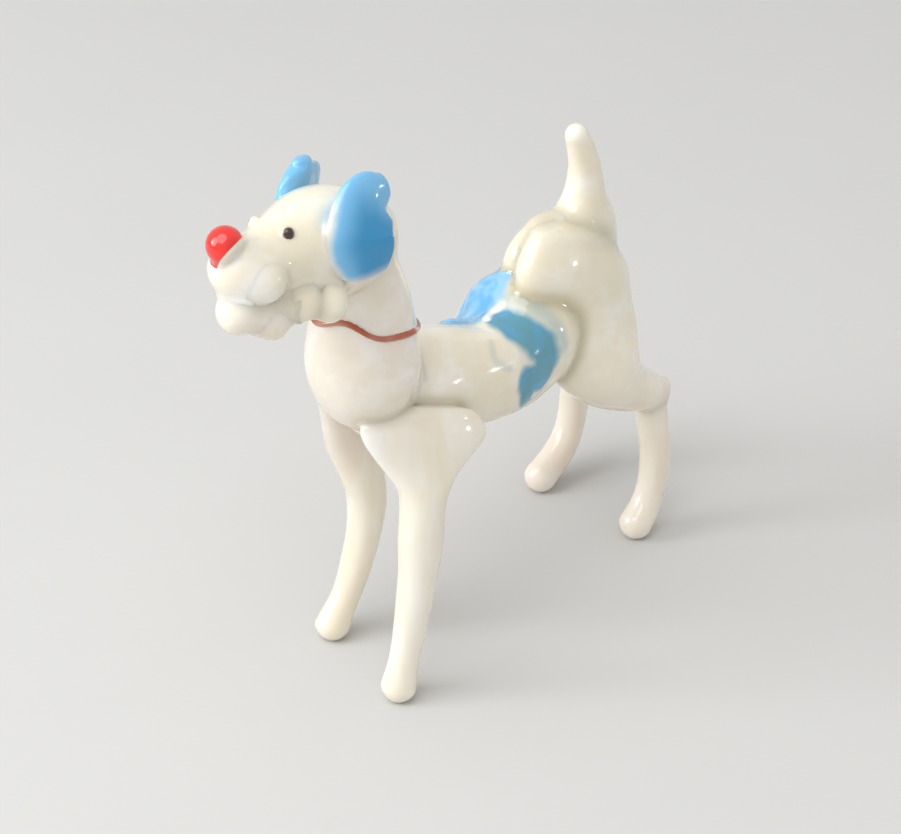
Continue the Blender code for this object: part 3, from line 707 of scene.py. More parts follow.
# Dabs on the snout: share of its length, degrees down from the crown, radius, and radii that each has sunk in
FACE_DABS = (("lip_", 0.93, 116, LIP_RADIUS, 1.36), ("cheek_", 0.60, 150, CHEEK_RADIUS, 0.35),
             ("jowl_", 0.42, 143, JOWL_RADIUS, 0.25))


def muzzle_skins():
    """Dabs of glass round the snout: lips, beard tufts, cheek tufts and jowls."""
    skins = {}
    for side, sign in SIDES:
        for dab, share, turn, radius, sunk in FACE_DABS:
            place = on_head(share, sign * math.radians(turn), radius, sunk * radius)
            skins[dab + side] = bead_skin(place, radius)
        beard = jaw_point(0.80) + vector(sign * 0.74, 0.0, -0.81) * BEARD_RADIUS
        skins["beard_" + side] = bead_skin(beard, BEARD_RADIUS)
    return skins


NOSE_LIFT = 1.45           # radii from the end of the snout up to the middle of the nose
NOSE_BARE_WAY = (-0.80, -0.20, 0.57)    # the side of the nose that the muzzle's glass leaves bare
NOSE_SEAT = (-0.44, 0.50)  # the bareness where its seat starts, and over how much it deepens
NOSE_TUCK = 0.00040        # how far the nose is drawn in at its seat
EYE_PLACE = 0.70           # share of the snout's length
EYE_TURN = math.radians(35)
EYE_SUNK = 1.1             # radii


def nose_bareness(points):
    """How far places on the nose are turned to its bare side: the cosine of the angle between."""
    return unit(points - points.mean(axis=(0, 1))) @ unit(NOSE_BARE_WAY)


def nose_skin():
    """The nose: a hanging drop, drawn in by a smooth step where it sits in the snout."""
    middle = head_point(SNOUT_LENGTH + NOSE_RADIUS, SNOUT_RISE + NOSE_LIFT * NOSE_RADIUS)
    drop = bead_skin(middle, NOSE_RADIUS, stretch=(0.98, 0.98, 1.0), along=64, around=80, taper=0.06)
    start, reach = NOSE_SEAT
    seat = held((start - nose_bareness(drop.points)) / reach)
    return drop.shifted(-NOSE_TUCK * seat * seat * (3 - 2 * seat))


def ear_skin(sign, lean, turn):
    """A flap laid down the side of the skull and drawn up to a round tip."""
    reach = 1.05 * SKULL_RADIUS
    shape = ((0.88, 0.00, 1.06, 0.74, 0.9), (0.97, 0.25, 1.06, 0.98, 1.0), (1.00, 0.50, 1.03, 1.0, 1.0),
             (0.75, 0.74, 0.96, 0.98, 0.95), (0.40, 0.90, 0.91, 0.82, 0.85))
    tip = EAR_TIP_RADIUS
    rows = []
    for forward, up, out, broad, thick in shape:
        along = EAR_TIP_PLACE + forward * (lean - EAR_TIP_PLACE)
        centre = head_point(along, EAR_LENGTH * (up - 0.11), sign * reach * out)
        rows.append((*centre, EAR_THICKNESS * thick, EAR_BREADTH * broad))
    rows.append((*head_point(EAR_TIP_PLACE, EAR_LENGTH * 0.87, sign * reach * 0.90), tip, 1.9 * tip))
    turned = math.cos(turn) * LEFT_WAY + sign * math.sin(turn) * SNOUT_WAY
    return oval_skin(rows, (EAR_THICKNESS, tip), along=80, around=112, across=turned, blur=SMALL_BLUR)


def mirrored(rows, sign):
    """Rows of a left piece, turned over for the right one."""
    rows = np.array(rows)
    rows[:, 0] *= sign
    return rows


def rod_tilts(rows):
    """Degrees by which sections square to a falling rod rise to the rear."""
    run = np.gradient(np.array(rows)[:, :3], axis=0)
    return np.degrees(np.arctan2(run[:, 1], -run[:, 2]))


def front_leg_skin(sign, step, bow, trail, lift):
    """A leg drawn from one gather: a flat blade on the chest, the forearm, and a round foot."""
    half = BLADE_LENGTH / 2
    blade = CHEST + vector(SHOULDER_SPREAD, BLADE_SET + trail, lift - BLADE_DROP)
    elbow = CHEST + vector(SHOULDER_SPREAD + ELBOW_FLARE - 0.2 * bow, trail + 0.55 * bow, -ELBOW_DROP)
    foot = vector(FRONT_FOOT_SPREAD, CHEST_PLACE - step, FOOT_RADIUS - SOLE_DEPTH)
    rows = [(*(blade + vector(-0.04, 0.09, 0.24) * half), 0.75 * BLADE_THICKNESS, 0.88 * half),
            (*blade, BLADE_THICKNESS, 1.02 * half),
            (*(blade + (elbow - blade) * 0.48), 1.1 * BLADE_THICKNESS, 0.68 * half),
            (*elbow, FOREARM_RADIUS, 1.1 * FOREARM_RADIUS)]
    for down, radius in ((0.2, FOREARM_RADIUS), (0.45, 0.55 * FOREARM_RADIUS + 0.45 * SHANK_RADIUS),
                         (0.77, SHANK_RADIUS), (0.92, SHANK_RADIUS)):
        centre = elbow + (foot - elbow) * vector(down, down**2, down)
        centre += vector(-0.15, 0.75, 0.0) * bow * math.sin(math.pi * down)
        rows.append((*centre, radius, radius))
    rows.append((*foot, FOOT_RADIUS, FOOT_RADIUS))
    rows = mirrored(rows, sign)
    turned = vector(math.cos(BLADE_TURN), -sign * math.sin(BLADE_TURN), 0.0)
    tilts = [-BLADE_SLOPE, -BLADE_SLOPE, -0.7 * BLADE_SLOPE] + list(rod_tilts(rows)[3:])
    return oval_skin(rows, (0.5 * BLADE_THICKNESS, FOOT_RADIUS), along=190, around=96, across=turned,
                     tilts=tilts, sole=True)


def hock_place(shift):
    """The middle of the left hock, or with the right haunch's shift, of the right one before mirroring."""
    return vector(HIND_FOOT_SPREAD - 0.25 * HOCK_RADIUS, RUMP[1] + HOCK_SET + shift, HOCK_HEIGHT)


HAUNCH_TILTS = (-22, -16, -10, 0, 25, 52, 78, 92)            # degrees, from the top of the haunch to its nib
HAUNCH_TUCKS = (1.0, 1.0, 1.0, 0.8, 0.4, 0.1, 0.0, 0.0)      # shares of the tuck


def haunch_skin(sign, shift, tuck):
    """A haunch: thick and flat against its twin, spread towards the hock, ending in a small nib."""
    half, thick, high = HAUNCH_LENGTH / 2, HAUNCH_THICKNESS, HAUNCH_HEIGHT
    top = RUMP + vector(0.33 * thick, HAUNCH_SET + shift, 0.95 * high)
    hock = hock_place(shift)
    rows = []
    for out, back, down, wide, deep in ((0.0, 0.0, 0.0, 0.70, 0.74), (0.13, -0.03, 0.26, 0.85, 0.96),
                                        (0.26, -0.01, 0.64, 0.87, 0.95), (0.52, 0.03, 1.0, 0.92, 0.80)):
        place = top + vector(out * thick, back * high, -down * high)
        rows.append((*place, wide * thick, deep * half))
    for way, wide, deep in (((-0.70, -2.60, 2.25), 0.9 * thick, 0.54 * half),
                            ((-0.35, -1.55, 0.88), 0.75 * thick, 0.34 * half),
                            ((0.0, 0.0, 0.0), HOCK_RADIUS, HOCK_RADIUS),
                            ((0.06, 1.04, -0.34), 0.55 * HOCK_RADIUS, 0.5 * HOCK_RADIUS)):
        rows.append((*(hock + HOCK_RADIUS * np.array(way)), wide, deep))
    rows = np.array(rows)
    rows[:, 0] -= tuck * np.array(HAUNCH_TUCKS)
    return oval_skin(mirrored(rows, sign), (0.5 * thick, 0.5 * HOCK_RADIUS), along=170, around=128,
                     tilts=HAUNCH_TILTS)


def hind_leg_skin(sign, step, shift, trail):
    """A rod under the hock that bends forward into a round foot."""
    hock = hock_place(shift)
    ankle_place = hock[1] + trail
    foot_place = hock[1] - step
    reach = ankle_place - foot_place
    top = vector(hock[0], ankle_place - 0.3 * SHANK_RADIUS, HOCK_HEIGHT - 0.5 * HOCK_RADIUS)
    ankle = vector(HIND_FOOT_SPREAD, ankle_place, 0.5 * HOCK_HEIGHT)
    foot = vector(HIND_FOOT_SPREAD, foot_place, FOOT_RADIUS - SOLE_DEPTH)
    heel = foot + vector(0.0, 0.33 * reach, 0.5 * SHANK_RADIUS)
    bend = foot + vector(0.0, 0.78 * reach, 1.84 * SHANK_RADIUS)
    rows = []
    for centre, radius in ((top, 1.1 * SHANK_RADIUS), (0.5 * (top + ankle), 1.05 * SHANK_RADIUS),
                           (ankle, SHANK_RADIUS), (bend, SHANK_RADIUS), (heel, 1.05 * SHANK_RADIUS),
                           (foot, FOOT_RADIUS)):
        rows.append((*centre, radius, radius))
    return oval_skin(mirrored(rows, sign), (SHANK_RADIUS, FOOT_RADIUS), along=130, around=72, sole=True)


def tail_skin():
    """A spike drawn upward from a skirt that straddles both haunches."""
    root = RUMP + vector(0.0, HAUNCH_SET + TAIL_SET, 0.95 * HAUNCH_HEIGHT - TAIL_SUNK)
    tip = TAIL_TIP_RADIUS
    shape = ((0.00, 0.00, 2.4, 5.9), (0.08, 0.15, 2.2, 4.4), (0.12, 0.32, 1.8, 2.6), (0.13, 0.50, 1.5, 1.75),
             (0.10, 0.74, 1.25, 1.35), (0.00, 1.00, 1.0, 1.0))
    rows = [(0.0, root[1] + back * TAIL_LENGTH, root[2] + up * TAIL_LENGTH, wide * tip, deep * tip)
            for back, up, wide, deep in shape]
    return oval_skin(rows, (0.8 * tip, tip), along=110, around=88)


def all_skins(sizes):
    """Every gather before it melts into its neighbours, with the ripples of the flame."""
    skins = {
        "torso": dipped(oval_skin(torso_rows(), (TORSO_RADIUS * 0.5, 1.25 * TORSO_RADIUS), along=130,
                                  around=144)),
        "chest_and_neck": oval_skin(neck_rows(), (0.60 * CHEST_RADIUS, 0.5 * NECK_RADIUS), along=140,
                                    around=144),
        "head": oval_skin(head_rows(), (0.65 * SKULL_RADIUS, SNOUT_RADIUS), along=140, around=144),
        "jaw_and_chin": jaw_skin(),
        "tail": tail_skin(),
        "ear_left": ear_skin(LEFT, LEFT_EAR_LEAN, LEFT_EAR_TURN),
        "ear_right": ear_skin(RIGHT, RIGHT_EAR_LEAN, RIGHT_EAR_TURN),
        "front_leg_left": front_leg_skin(LEFT, LEFT_FRONT_STEP, 0.0, 0.0, 0.0),
        "front_leg_right": front_leg_skin(RIGHT, RIGHT_FRONT_STEP, RIGHT_LEG_BOW, RIGHT_LEG_TRAIL,
                                          RIGHT_BLADE_LIFT),
        "haunch_left": haunch_skin(LEFT, 0.0, 0.0),
        "haunch_right": haunch_skin(RIGHT, RIGHT_HAUNCH_SHIFT, RIGHT_HAUNCH_TUCK),
        "hind_leg_left": hind_leg_skin(LEFT, LEFT_HIND_STEP, 0.0, LEFT_ANKLE_TRAIL),
        "hind_leg_right": hind_leg_skin(RIGHT, RIGHT_HIND_STEP, RIGHT_HAUNCH_SHIFT, RIGHT_ANKLE_TRAIL),
    }
    skins.update(muzzle_skins())
    skins.update(saddle_skins(sizes.patch_rise))
    skins = {name: rippled(skin, sizes.ripple, 1.7 * place)
             for place, (name, skin) in enumerate(sorted(skins.items()))}
    skins["collar"] = collar_skin(sizes.thread)
    skins["nose"] = nose_skin()
    for side, sign in SIDES:
        eye = on_head(EYE_PLACE, sign * EYE_TURN, EYE_RADIUS, EYE_SUNK * EYE_RADIUS)
        skins["eye_" + side] = bead_skin(eye, EYE_RADIUS, along=32, around=40)
    for name in COLOURED:
        skins[name].coloured = True
    return skins


# Reaches over which gathers run into each other, and how strongly olive shade is painted into the crease
# between them
MELTS = {
    ("torso", "chest_and_neck"): (0.0014, 0.1),
    ("torso", "saddle_back"): (0.0006, 0.0),
    ("torso", "saddle_left"): (0.0005, 0.0),
    ("chest_and_neck", "head"): (0.0012, 0.15),
    ("chest_and_neck", "jaw_and_chin"): (0.0006, 0.2),
    ("chest_and_neck", "collar"): (0.00012, 0.0),
    ("head", "jaw_and_chin"): (0.0011, 0.0),
    ("head", "nose"): (0.0006, 0.0),
    ("haunch_left", "haunch_right"): (0.0005, 0.6),
    ("beard_left", "beard_right"): (0.0010, 0.0),
    ("haunch_left", "saddle_back"): (0.0003, 0.3),
    ("haunch_left", "saddle_left"): (0.0003, 0.3),
    ("haunch_right", "saddle_back"): (0.0003, 0.3),
}
SIDE_MELTS = {
    ("torso", "front_leg_"): (0.0004, 0.8),
    ("torso", "haunch_"): (0.0005, 0.9),
    ("chest_and_neck", "front_leg_"): (0.0004, 0.5),
    ("chest_and_neck", "jowl_"): (0.0007, 0.1),
    ("chest_and_neck", "beard_"): (0.0005, 0.0),
    ("chest_and_neck", "ear_"): (0.0004, 0.0),
    ("head", "lip_"): (0.0012, 0.0),
    ("head", "cheek_"): (0.0013, 0.08),
    ("head", "jowl_"): (0.0013, 0.08),
    ("head", "ear_"): (0.0006, 0.0),
    ("head", "eye_"): (0.0002, 0.0),
    ("jaw_and_chin", "lip_"): (0.0008, 0.35),
    ("jaw_and_chin", "cheek_"): (0.0014, 0.2),
    ("jaw_and_chin", "jowl_"): (0.0010, 0.2),
    ("jaw_and_chin", "beard_"): (0.0012, 0.0),
    ("tail", "haunch_"): (0.0006, 0.6),
    ("lip_", "cheek_"): (0.0009, 0.5),
    ("cheek_", "jowl_"): (0.0009, 0.35),
    ("cheek_", "beard_"): (0.0009, 0.25),
    ("jowl_", "ear_"): (0.0003, 0.0),
    ("haunch_", "hind_leg_"): (0.0007, 0.3),
}


def melt_pairs():
    """Every pair of gathers that touch, with its reach and how strongly shade is painted into its crease."""
    pairs = dict(MELTS)
    for (first, second), joint in SIDE_MELTS.items():
        for side, _ in SIDES:
            ends = [name + side if name.endswith("_") else name for name in (first, second)]
            pairs[tuple(ends)] = joint
    return pairs


SKINS = {}                 # every gather before it melts, made once


def melted_skin(name):
    """The finished skin of one gather, run into all its neighbours."""
    sizes = bpy.context.scene.terrier_sizes
    if not SKINS:
        SKINS.update(all_skins(sizes))
    others = []
    for ends, (reach, depth) in melt_pairs().items():
        if name in ends:
            other = ends[1 - ends.index(name)]
            others.append((other, SKINS[other], reach, depth))
    return melted(SKINS[name], others, sizes.melt)


# Places on the dog and how rosy its opal glass is there
WARM_PLACES = (
    (SKULL + 0.003 * UPRIGHT, 0.0), (head_point(0.006, 0.003), 0.05), (head_point(0.006, 0.0, 0.003), 0.15),
    (head_point(0.011, 0.0), 0.2), (jaw_point(0.9), 0.6), (jaw_point(0.4), 0.4),
    (CHEST + 0.6 * NECK_HEIGHT * Z_AXIS, 1.0), (CHEST - 0.003 * Z_AXIS, 0.9), (0.5 * (CHEST + RUMP), 0.0),
    (RUMP, 0.0), (RUMP + vector(0.0, 0.008, 0.004), 0.1), (RUMP + vector(0.0, 0.008, 0.017), 0.2),
    (vector(0.005, 0.014, 0.012), 0.5), (vector(0.005, 0.013, 0.002), 0.8),
    (vector(-0.005, 0.014, 0.012), 0.6), (vector(-0.005, 0.013, 0.002), 0.9),
    (vector(0.005, -0.007, 0.018), 0.2), (vector(0.005, -0.009, 0.002), 0.3),
    (vector(-0.005, -0.007, 0.010), 0.3))
WARM_BLUR = 0.001


def warmth_at(points):
    """How rosy the glass is at places: the mean over the warm places, weighted by 1 / gap to the fourth."""
    total = np.zeros(points.shape[:2])
    warmth = np.zeros(points.shape[:2])
    for place, value in WARM_PLACES:
        weight = 1 / (np.sum((points - place) ** 2, axis=-1) + WARM_BLUR**2) ** 2
        total += weight
        warmth += weight * value
    return warmth / total


def opal_tints(skin):
    """The values that every opal mesh carries: how rosy it is, and how much shade is painted into its
    creases.
    """
    return [("warm", warmth_at(skin.points)), ("crease", skin.shares["crease"])]


# Glass

BLACK = (0.0, 0.0, 0.0)
RELIEF_SIZE = 0.0009       # across the fine relief of the glass
RELIEF_HEIGHT = 0.00004
LIGHT_DEPTH = 0.0012       # how far light wanders inside the opal glass
DRAWN_OUT = 0.15           # how fast the clouds change along a leg, as a share of across it
BLEED_REACH = 0.0012       # how far the blue of the left ear bleeds into the head
BLEED_START = 0.0020       # and how far above the middle of the skull it begins
EYE_RIMS = (0.22, 0.60)    # how far outwards the dark of the left and of the right eye starts
EAR_FADE = 0.0005          # how far from the head the ears fade to white
EAR_LOOKS = (("left", 0.0, 1.0), ("right", 0.8, 0.0))    # how pale the blue is, and how far its rims fade


class Value:
    """A shader socket; arithmetic on it adds Math nodes."""

    def __init__(self, glass, socket):
        self.glass = glass
        self.socket = socket

    def __add__(self, other):
        return self.glass.maths("ADD", self, other)

    def __radd__(self, other):
        return self.glass.maths("ADD", other, self)

    def __sub__(self, other):
        return self.glass.maths("SUBTRACT", self, other)

    def __rsub__(self, other):
        return self.glass.maths("SUBTRACT", other, self)

    def __mul__(self, other):
        return self.glass.maths("MULTIPLY", self, other)

    def __rmul__(self, other):
        return self.glass.maths("MULTIPLY", other, self)


class Glass:
    """The node tree of one glass."""

    def __init__(self, name):
        self.colours = bpy.context.scene.terrier_colours
        self.material = bpy.data.materials.new(name)
        self.material.use_nodes = True
        self.tree = self.material.node_tree
        self.shader = self.tree.nodes["Principled BSDF"]

    def node(self, kind, settings, sockets, output=0):
        """Any node: its type, its settings, and the values or links of its sockets."""
        made = self.tree.nodes.new(kind)
        for name, value in settings.items():
            setattr(made, name, value)
        for key, value in sockets.items():
            self.feed(made.inputs[key], value)
        return Value(self, made.outputs[output])

    def feed(self, socket, value):
        """Link a socket, or set it."""
        if isinstance(value, Value):
            self.tree.links.new(value.socket, socket)
        elif socket.type == "RGBA":
            socket.default_value = (*value[:3], 1.0)
        else:
            socket.default_value = value

    def maths(self, operation, *values):
        """A Math node."""
        return self.node("ShaderNodeMath", {"operation": operation}, dict(enumerate(values)))

    def mix(self, share, first, second):
        """A colour between two."""
        return self.node("ShaderNodeMix", {"data_type": "RGBA"}, {0: share, 6: first, 7: second}, output=2)

    def ease(self, value, low, high):
        """Zero at low, one at high, smooth in between."""
        return self.node("ShaderNodeMapRange", {"interpolation_type": "SMOOTHSTEP"},
                         {0: value, 1: low, 2: high})

    def place(self):
        """Where the shaded point is on the dog."""
        return self.node("ShaderNodeTexCoord", {}, {}, output=3)

    def tint(self, name):
        """A value that the mesh carries."""
        return self.node("ShaderNodeAttribute", {"attribute_name": name}, {}, output=2)

    def noise(self, size, detail=2.0, stretch=(1.0, 1.0, 1.0), warp=0.0):
        """Noise with clouds about `size` metres across, drawn out along an axis where stretch is small."""
        where = self.node("ShaderNodeVectorMath", {"operation": "MULTIPLY"}, {0: self.place(), 1: stretch})
        return self.node("ShaderNodeTexNoise", {}, {"Vector": where, "Scale": 1 / size, "Detail": detail,
                                                   "Distortion": warp})

    def gloss(self, least, spread, size=0.003):
        """A roughness that wanders up from its least value in clouds of a size."""
        return least + self.noise(size) * spread

    def finish(self, colour, roughness, coat=0.5, depth=0.35, bump=None):
        """Set the shader: colour, gloss, a clear coat, light inside the glass, and a fine relief."""
        self.feed(self.shader.inputs["Base Color"], colour)
        self.feed(self.shader.inputs["Roughness"], roughness)
        self.shader.inputs["Metallic"].default_value = 0.0
        self.shader.inputs["IOR"].default_value = 1.5
        self.shader.inputs["Coat Weight"].default_value = coat
        self.shader.inputs["Coat Roughness"].default_value = 0.03
        self.shader.inputs["Subsurface Weight"].default_value = depth
        self.shader.inputs["Subsurface Radius"].default_value = (1.0, 0.85, 0.6)
        self.shader.inputs["Subsurface Scale"].default_value = LIGHT_DEPTH
        if bump is not None:
            relief = self.node("ShaderNodeBump", {},
                               {"Strength": 0.25, "Distance": RELIEF_HEIGHT, "Height": bump})
            self.feed(self.shader.inputs["Normal"], relief)
        return self.material


def blend(first, second, share):
    """A fixed colour between two."""
    return tuple((1 - share) * one + share * other for one, other in zip(first, second))


def opal_base(glass, drawn=1.0):
    """Cream and rose with milk in soft clouds, drawn out along a leg, and olive painted shade in the creases.
    """
    colours = glass.colours
    clouds = glass.noise(0.0045, stretch=(1.0, 1.0, drawn), warp=0.6)
    wisps = glass.noise(0.0013, stretch=(1.0, 0.7, drawn), warp=0.8)
    milky = glass.ease(clouds * 0.65 + wisps * 0.35, 0.38, 0.80)
    body = glass.mix(milky, glass.mix(glass.tint("warm"), colours.cream, colours.rose), colours.milk)
    # painted shade: olive laid over the opal where the crease tint is strong
    return glass.mix(glass.tint("crease") * (0.6 + wisps * 0.4), body, colours.crease)


def opal_glass(name, drawn):
    """Opal glass with a wet gloss."""
    glass = Glass("opal_" + name)
    colour = opal_base(glass, drawn)
    relief = glass.noise(RELIEF_SIZE, stretch=(1.0, 1.0, max(drawn, 0.3)))
    return glass.finish(colour, glass.gloss(0.07, 0.10), bump=relief)


def marked_glass(name, gloss):
    """Opal glass with the blue markings drawn over it, whose soft edges wander a little."""
    glass = Glass(name)
    colours = glass.colours
    wander = (glass.noise(0.0016, detail=1.0) - 0.5) * 0.30
    cloud = glass.noise(0.0016, detail=1.5, warp=0.5)
    hook = glass.ease(glass.tint("hook") + wander, 0.38, 0.66)
    back = glass.ease(glass.tint("back") + wander, 0.38, 0.62)
    glaze = glass.ease(glass.tint("glaze") + wander, 0.30, 0.95)
    pocket = glass.ease(glass.tint("pocket"), 0.1, 0.9)
    streak = glass.ease(glass.tint("streak") + wander * 0.5, 0.35, 0.75)
    grey = glass.ease(glass.tint("grey"), 0.3, 0.8)
    deep = blend(colours.blue, colours.pale_blue, 0.45)
    middling = blend(colours.blue, colours.pale_blue, 0.65)
    bright = blend(colours.pale_blue, colours.milk, 0.14)
    hook_blue = glass.mix(glass.ease(cloud, 0.40, 0.65) * 0.7, colours.teal, deep)
    back_blue = glass.mix(glass.ease(cloud, 0.34, 0.66), middling, bright)
    colour = opal_base(glass)
    # the grey streak borrows the olive of the painted crease shade
    for share, over in ((glaze * 0.45, colours.teal), (pocket * 0.22, colours.teal), (hook, hook_blue),
                        (back, back_blue), (streak, colours.milk), (grey * 0.7, colours.crease)):
        colour = glass.mix(share, colour, over)
    return glass.finish(colour, glass.gloss(*gloss), bump=glass.noise(RELIEF_SIZE))


def thread_glass():
    """Red-brown glass in streaks, pale where the thread is drawn thin, with a painted highlight there too."""
    glass = Glass("thread_collar")
    colours = glass.colours
    streaks = glass.noise(0.0030, detail=1.0)
    colour = glass.mix(glass.ease(streaks, 0.45, 0.80) * 0.35, colours.thread, colours.rose)
    # pale patch: partly the thread drawn thin at its overlap, partly a painted highlight where the neck's
    # sheen crosses it
    colour = glass.mix(glass.tint("thin") * 0.8, colour, colours.rose)
    return glass.finish(colour, 0.10 + streaks * 0.06, coat=0.4, depth=0.1)


def head_glass():
    """Opal glass with the blue of the left ear bleeding into it."""
    glass = Glass("opal_head")
    bleed = glass.ease(glass.tint("bleed") + (glass.noise(0.002) - 0.5) * 0.2, 0.0, 1.0)
    colour = glass.mix(bleed * 0.6, opal_base(glass), glass.colours.pale_blue)
    return glass.finish(colour, glass.gloss(0.07, 0.08), bump=glass.noise(RELIEF_SIZE))


def nose_glass():
    """Red glass in soft clouds, and opal glass on the side that sits in the snout."""
    glass = Glass("red_nose")
    shade = glass.noise(0.0012)
    deep = blend(glass.colours.red, BLACK, 0.25)
    red = glass.mix(glass.ease(shade, 0.4, 0.75), glass.colours.red, deep)
    bare = glass.ease(glass.tint("bare") + (shade - 0.5) * 0.08, -0.46, -0.38)
    colour = glass.mix(bare, opal_base(glass), red)
    return glass.finish(colour, 0.06 + shade * 0.06, coat=0.6, depth=0.25)


def eye_glass(side, rim):
    """Dark glass that turns to opal glass past its rim."""
    glass = Glass("brown_eye_" + side)
    clouds = glass.noise(0.0004)
    dark = glass.ease(glass.tint("outward") + (clouds - 0.5) * 0.2, rim, rim + 0.5)
    colour = glass.mix(dark, opal_base(glass), glass.colours.brown)
    return glass.finish(colour, 0.05 + clouds * 0.05, depth=0.0)


def ear_glass(side, pale, faded):
    """Blue glass, lighter in front and on the crown, that fades to opal glass at its foot and its rims."""
    glass = Glass("blue_ear_" + side)
    clouds = (glass.noise(0.0022, detail=1.5, stretch=(1.0, 1.0, 0.7)) - 0.5) * 0.3
    front = glass.tint("front")
    up = glass.tint("up")
    crown = glass.ease(up + clouds * 0.5, 0.50, 0.74)
    light = 1 - (1 - crown) * (1 - glass.ease(front + clouds, 0.1, 0.95)) * (1 - pale)
    blue = glass.mix(light, glass.colours.blue, glass.colours.pale_blue)
    foot = glass.ease(up + clouds * 0.2, 0.19, 0.05)
    fore = glass.ease(front + clouds, 0.78, 1.06) * glass.ease(up, 0.66, 0.44) * faded
    rear = glass.ease(front, -0.77, -0.84) * glass.ease(up, 0.82, 0.74) * faded
    near = glass.ease(glass.tint("near"), 0.4, 1.1) * glass.ease(up, 0.60, 0.40)
    rims = 1 - (1 - fore) * (1 - near) * (1 - foot) * (1 - rear)
    colour = glass.mix(rims * 0.9, blue, opal_base(glass))
    return glass.finish(colour, glass.gloss(0.07, 0.08, 0.002), depth=0.25, bump=glass.noise(RELIEF_SIZE))


# Values that the pieces carry for their glass

def thin_and_sheen_tints(skin):
    """Where the collar's thread is drawn thin and a highlight is painted on it: exp(-(turn - thin place)
    squared / reach squared).
    """
    turns = np.linspace(0, 360, len(skin.points), endpoint=False)[:, None]
    return [("thin", np.exp(-((turns - THIN_SHEEN_PLACE) / THIN_SHEEN_REACH) ** 2) * np.ones(skin.points.shape[1]))]


def bleed_tints(skin):
    """How much blue bleeds into the head: most beside the left ear, and high up."""
    near_ear = held(1 - skin.shares["ear_left"] / BLEED_REACH)
    high = held(((skin.points - SKULL) @ CROWN_WAY - BLEED_START) / BLEED_REACH)
    return opal_tints(skin) + [("bleed", near_ear * high)]


def eye_tints(skin, sign):
    """How far places on an eye are turned outwards."""
    away = unit(skin.points - skin.points.mean(axis=(0, 1)))
    outwards = unit(0.85 * sign * LEFT_WAY + 0.45 * SNOUT_WAY + 0.3 * CROWN_WAY)
    return opal_tints(skin) + [("outward", away @ outwards)]


def ear_tints(skin):
    """How far forward and up places on an ear are, and how near to the head."""
    rings, around = skin.points.shape[:2]
    forward = -np.sin(full_turn(around)) * np.ones((rings, 1))
    height = np.linspace(0, 1, rings)[:, None] * np.ones(around)
    nearness = held(1 - skin.shares["head"] / EAR_FADE)
    return opal_tints(skin) + [("front", forward), ("up", height), ("near", nearness)]


# Pieces

def settings():
    """The sizes and colours of the scene."""
    scene = bpy.context.scene
    return scene.terrier_sizes, scene.terrier_colours


def add_opal(name, drawn=1.0):
    """Add one gather of plain opal glass."""
    skin = melted_skin(name)
    add_skin(name, skin, opal_glass(name, drawn), opal_tints(skin))


class TERRIER_OT_torso(bpy.types.Operator):
    """Add the torso, with the blue of the markings bleeding into it"""

    bl_idname = "terrier.torso"
    bl_label = "Torso"

    def execute(self, context):
        skin = melted_skin("torso")
        add_skin("torso", skin, marked_glass("opal_torso", (0.07, 0.10)), mark_tints(skin))
        return {"FINISHED"}


class TERRIER_OT_saddle(bpy.types.Operator):
    """Add the blue markings on the back and down the left side"""

    bl_idname = "terrier.saddle"
    bl_label = "Saddle markings"

    def execute(self, context):
        for name in ("saddle_back", "saddle_left"):
            skin = melted_skin(name)
            add_skin(name, skin, marked_glass("blue_" + name, (0.06, 0.06)), mark_tints(skin))
        return {"FINISHED"}


class TERRIER_OT_neck(bpy.types.Operator):
    """Add the chest and neck"""

    bl_idname = "terrier.neck"
    bl_label = "Chest and neck"

    def execute(self, context):
        add_opal("chest_and_neck")
        return {"FINISHED"}


class TERRIER_OT_collar(bpy.types.Operator):
    """Wind the red-brown thread round the neck"""

    bl_idname = "terrier.collar"
    bl_label = "Collar"

    def execute(self, context):
        skin = melted_skin("collar")
        add_skin("collar", skin, thread_glass(), thin_and_sheen_tints(skin))
        return {"FINISHED"}


class TERRIER_OT_head(bpy.types.Operator):
    """Add the skull and snout, with the blue of the left ear bleeding into it"""

    bl_idname = "terrier.head"
    bl_label = "Head"

    def execute(self, context):
        skin = melted_skin("head")
        add_skin("head", skin, head_glass(), bleed_tints(skin))
        return {"FINISHED"}


class TERRIER_OT_muzzle(bpy.types.Operator):
    """Add the jaw and the dabs of glass round the snout"""

    bl_idname = "terrier.muzzle"
    bl_label = "Muzzle"

    def execute(self, context):
        add_opal("jaw_and_chin")
        for side, _ in SIDES:
            for dab in ("lip_", "beard_", "cheek_", "jowl_"):
                add_opal(dab + side)
        return {"FINISHED"}


class TERRIER_OT_nose(bpy.types.Operator):
    """Add the red drop on the end of the snout"""

    bl_idname = "terrier.nose"
    bl_label = "Nose"

    def execute(self, context):
        skin = melted_skin("nose")
        tints = opal_tints(skin) + [("bare", nose_bareness(skin.points))]
        add_skin("nose", skin, nose_glass(), tints)
        return {"FINISHED"}


class TERRIER_OT_eyes(bpy.types.Operator):
    """Add the two dark dots of the eyes"""

    bl_idname = "terrier.eyes"
    bl_label = "Eyes"

    def execute(self, context):
        for (side, sign), rim in zip(SIDES, EYE_RIMS):
            skin = melted_skin("eye_" + side)
            add_skin("eye_" + side, skin, eye_glass(side, rim), eye_tints(skin, sign))
        return {"FINISHED"}


class TERRIER_OT_ears(bpy.types.Operator):
    """Add the blue ears, fading to white where they run into the head"""

    bl_idname = "terrier.ears"
    bl_label = "Ears"

    def execute(self, context):
        for side, pale, faded in EAR_LOOKS:
            skin = melted_skin("ear_" + side)
            add_skin("ear_" + side, skin, ear_glass(side, pale, faded), ear_tints(skin))
        return {"FINISHED"}


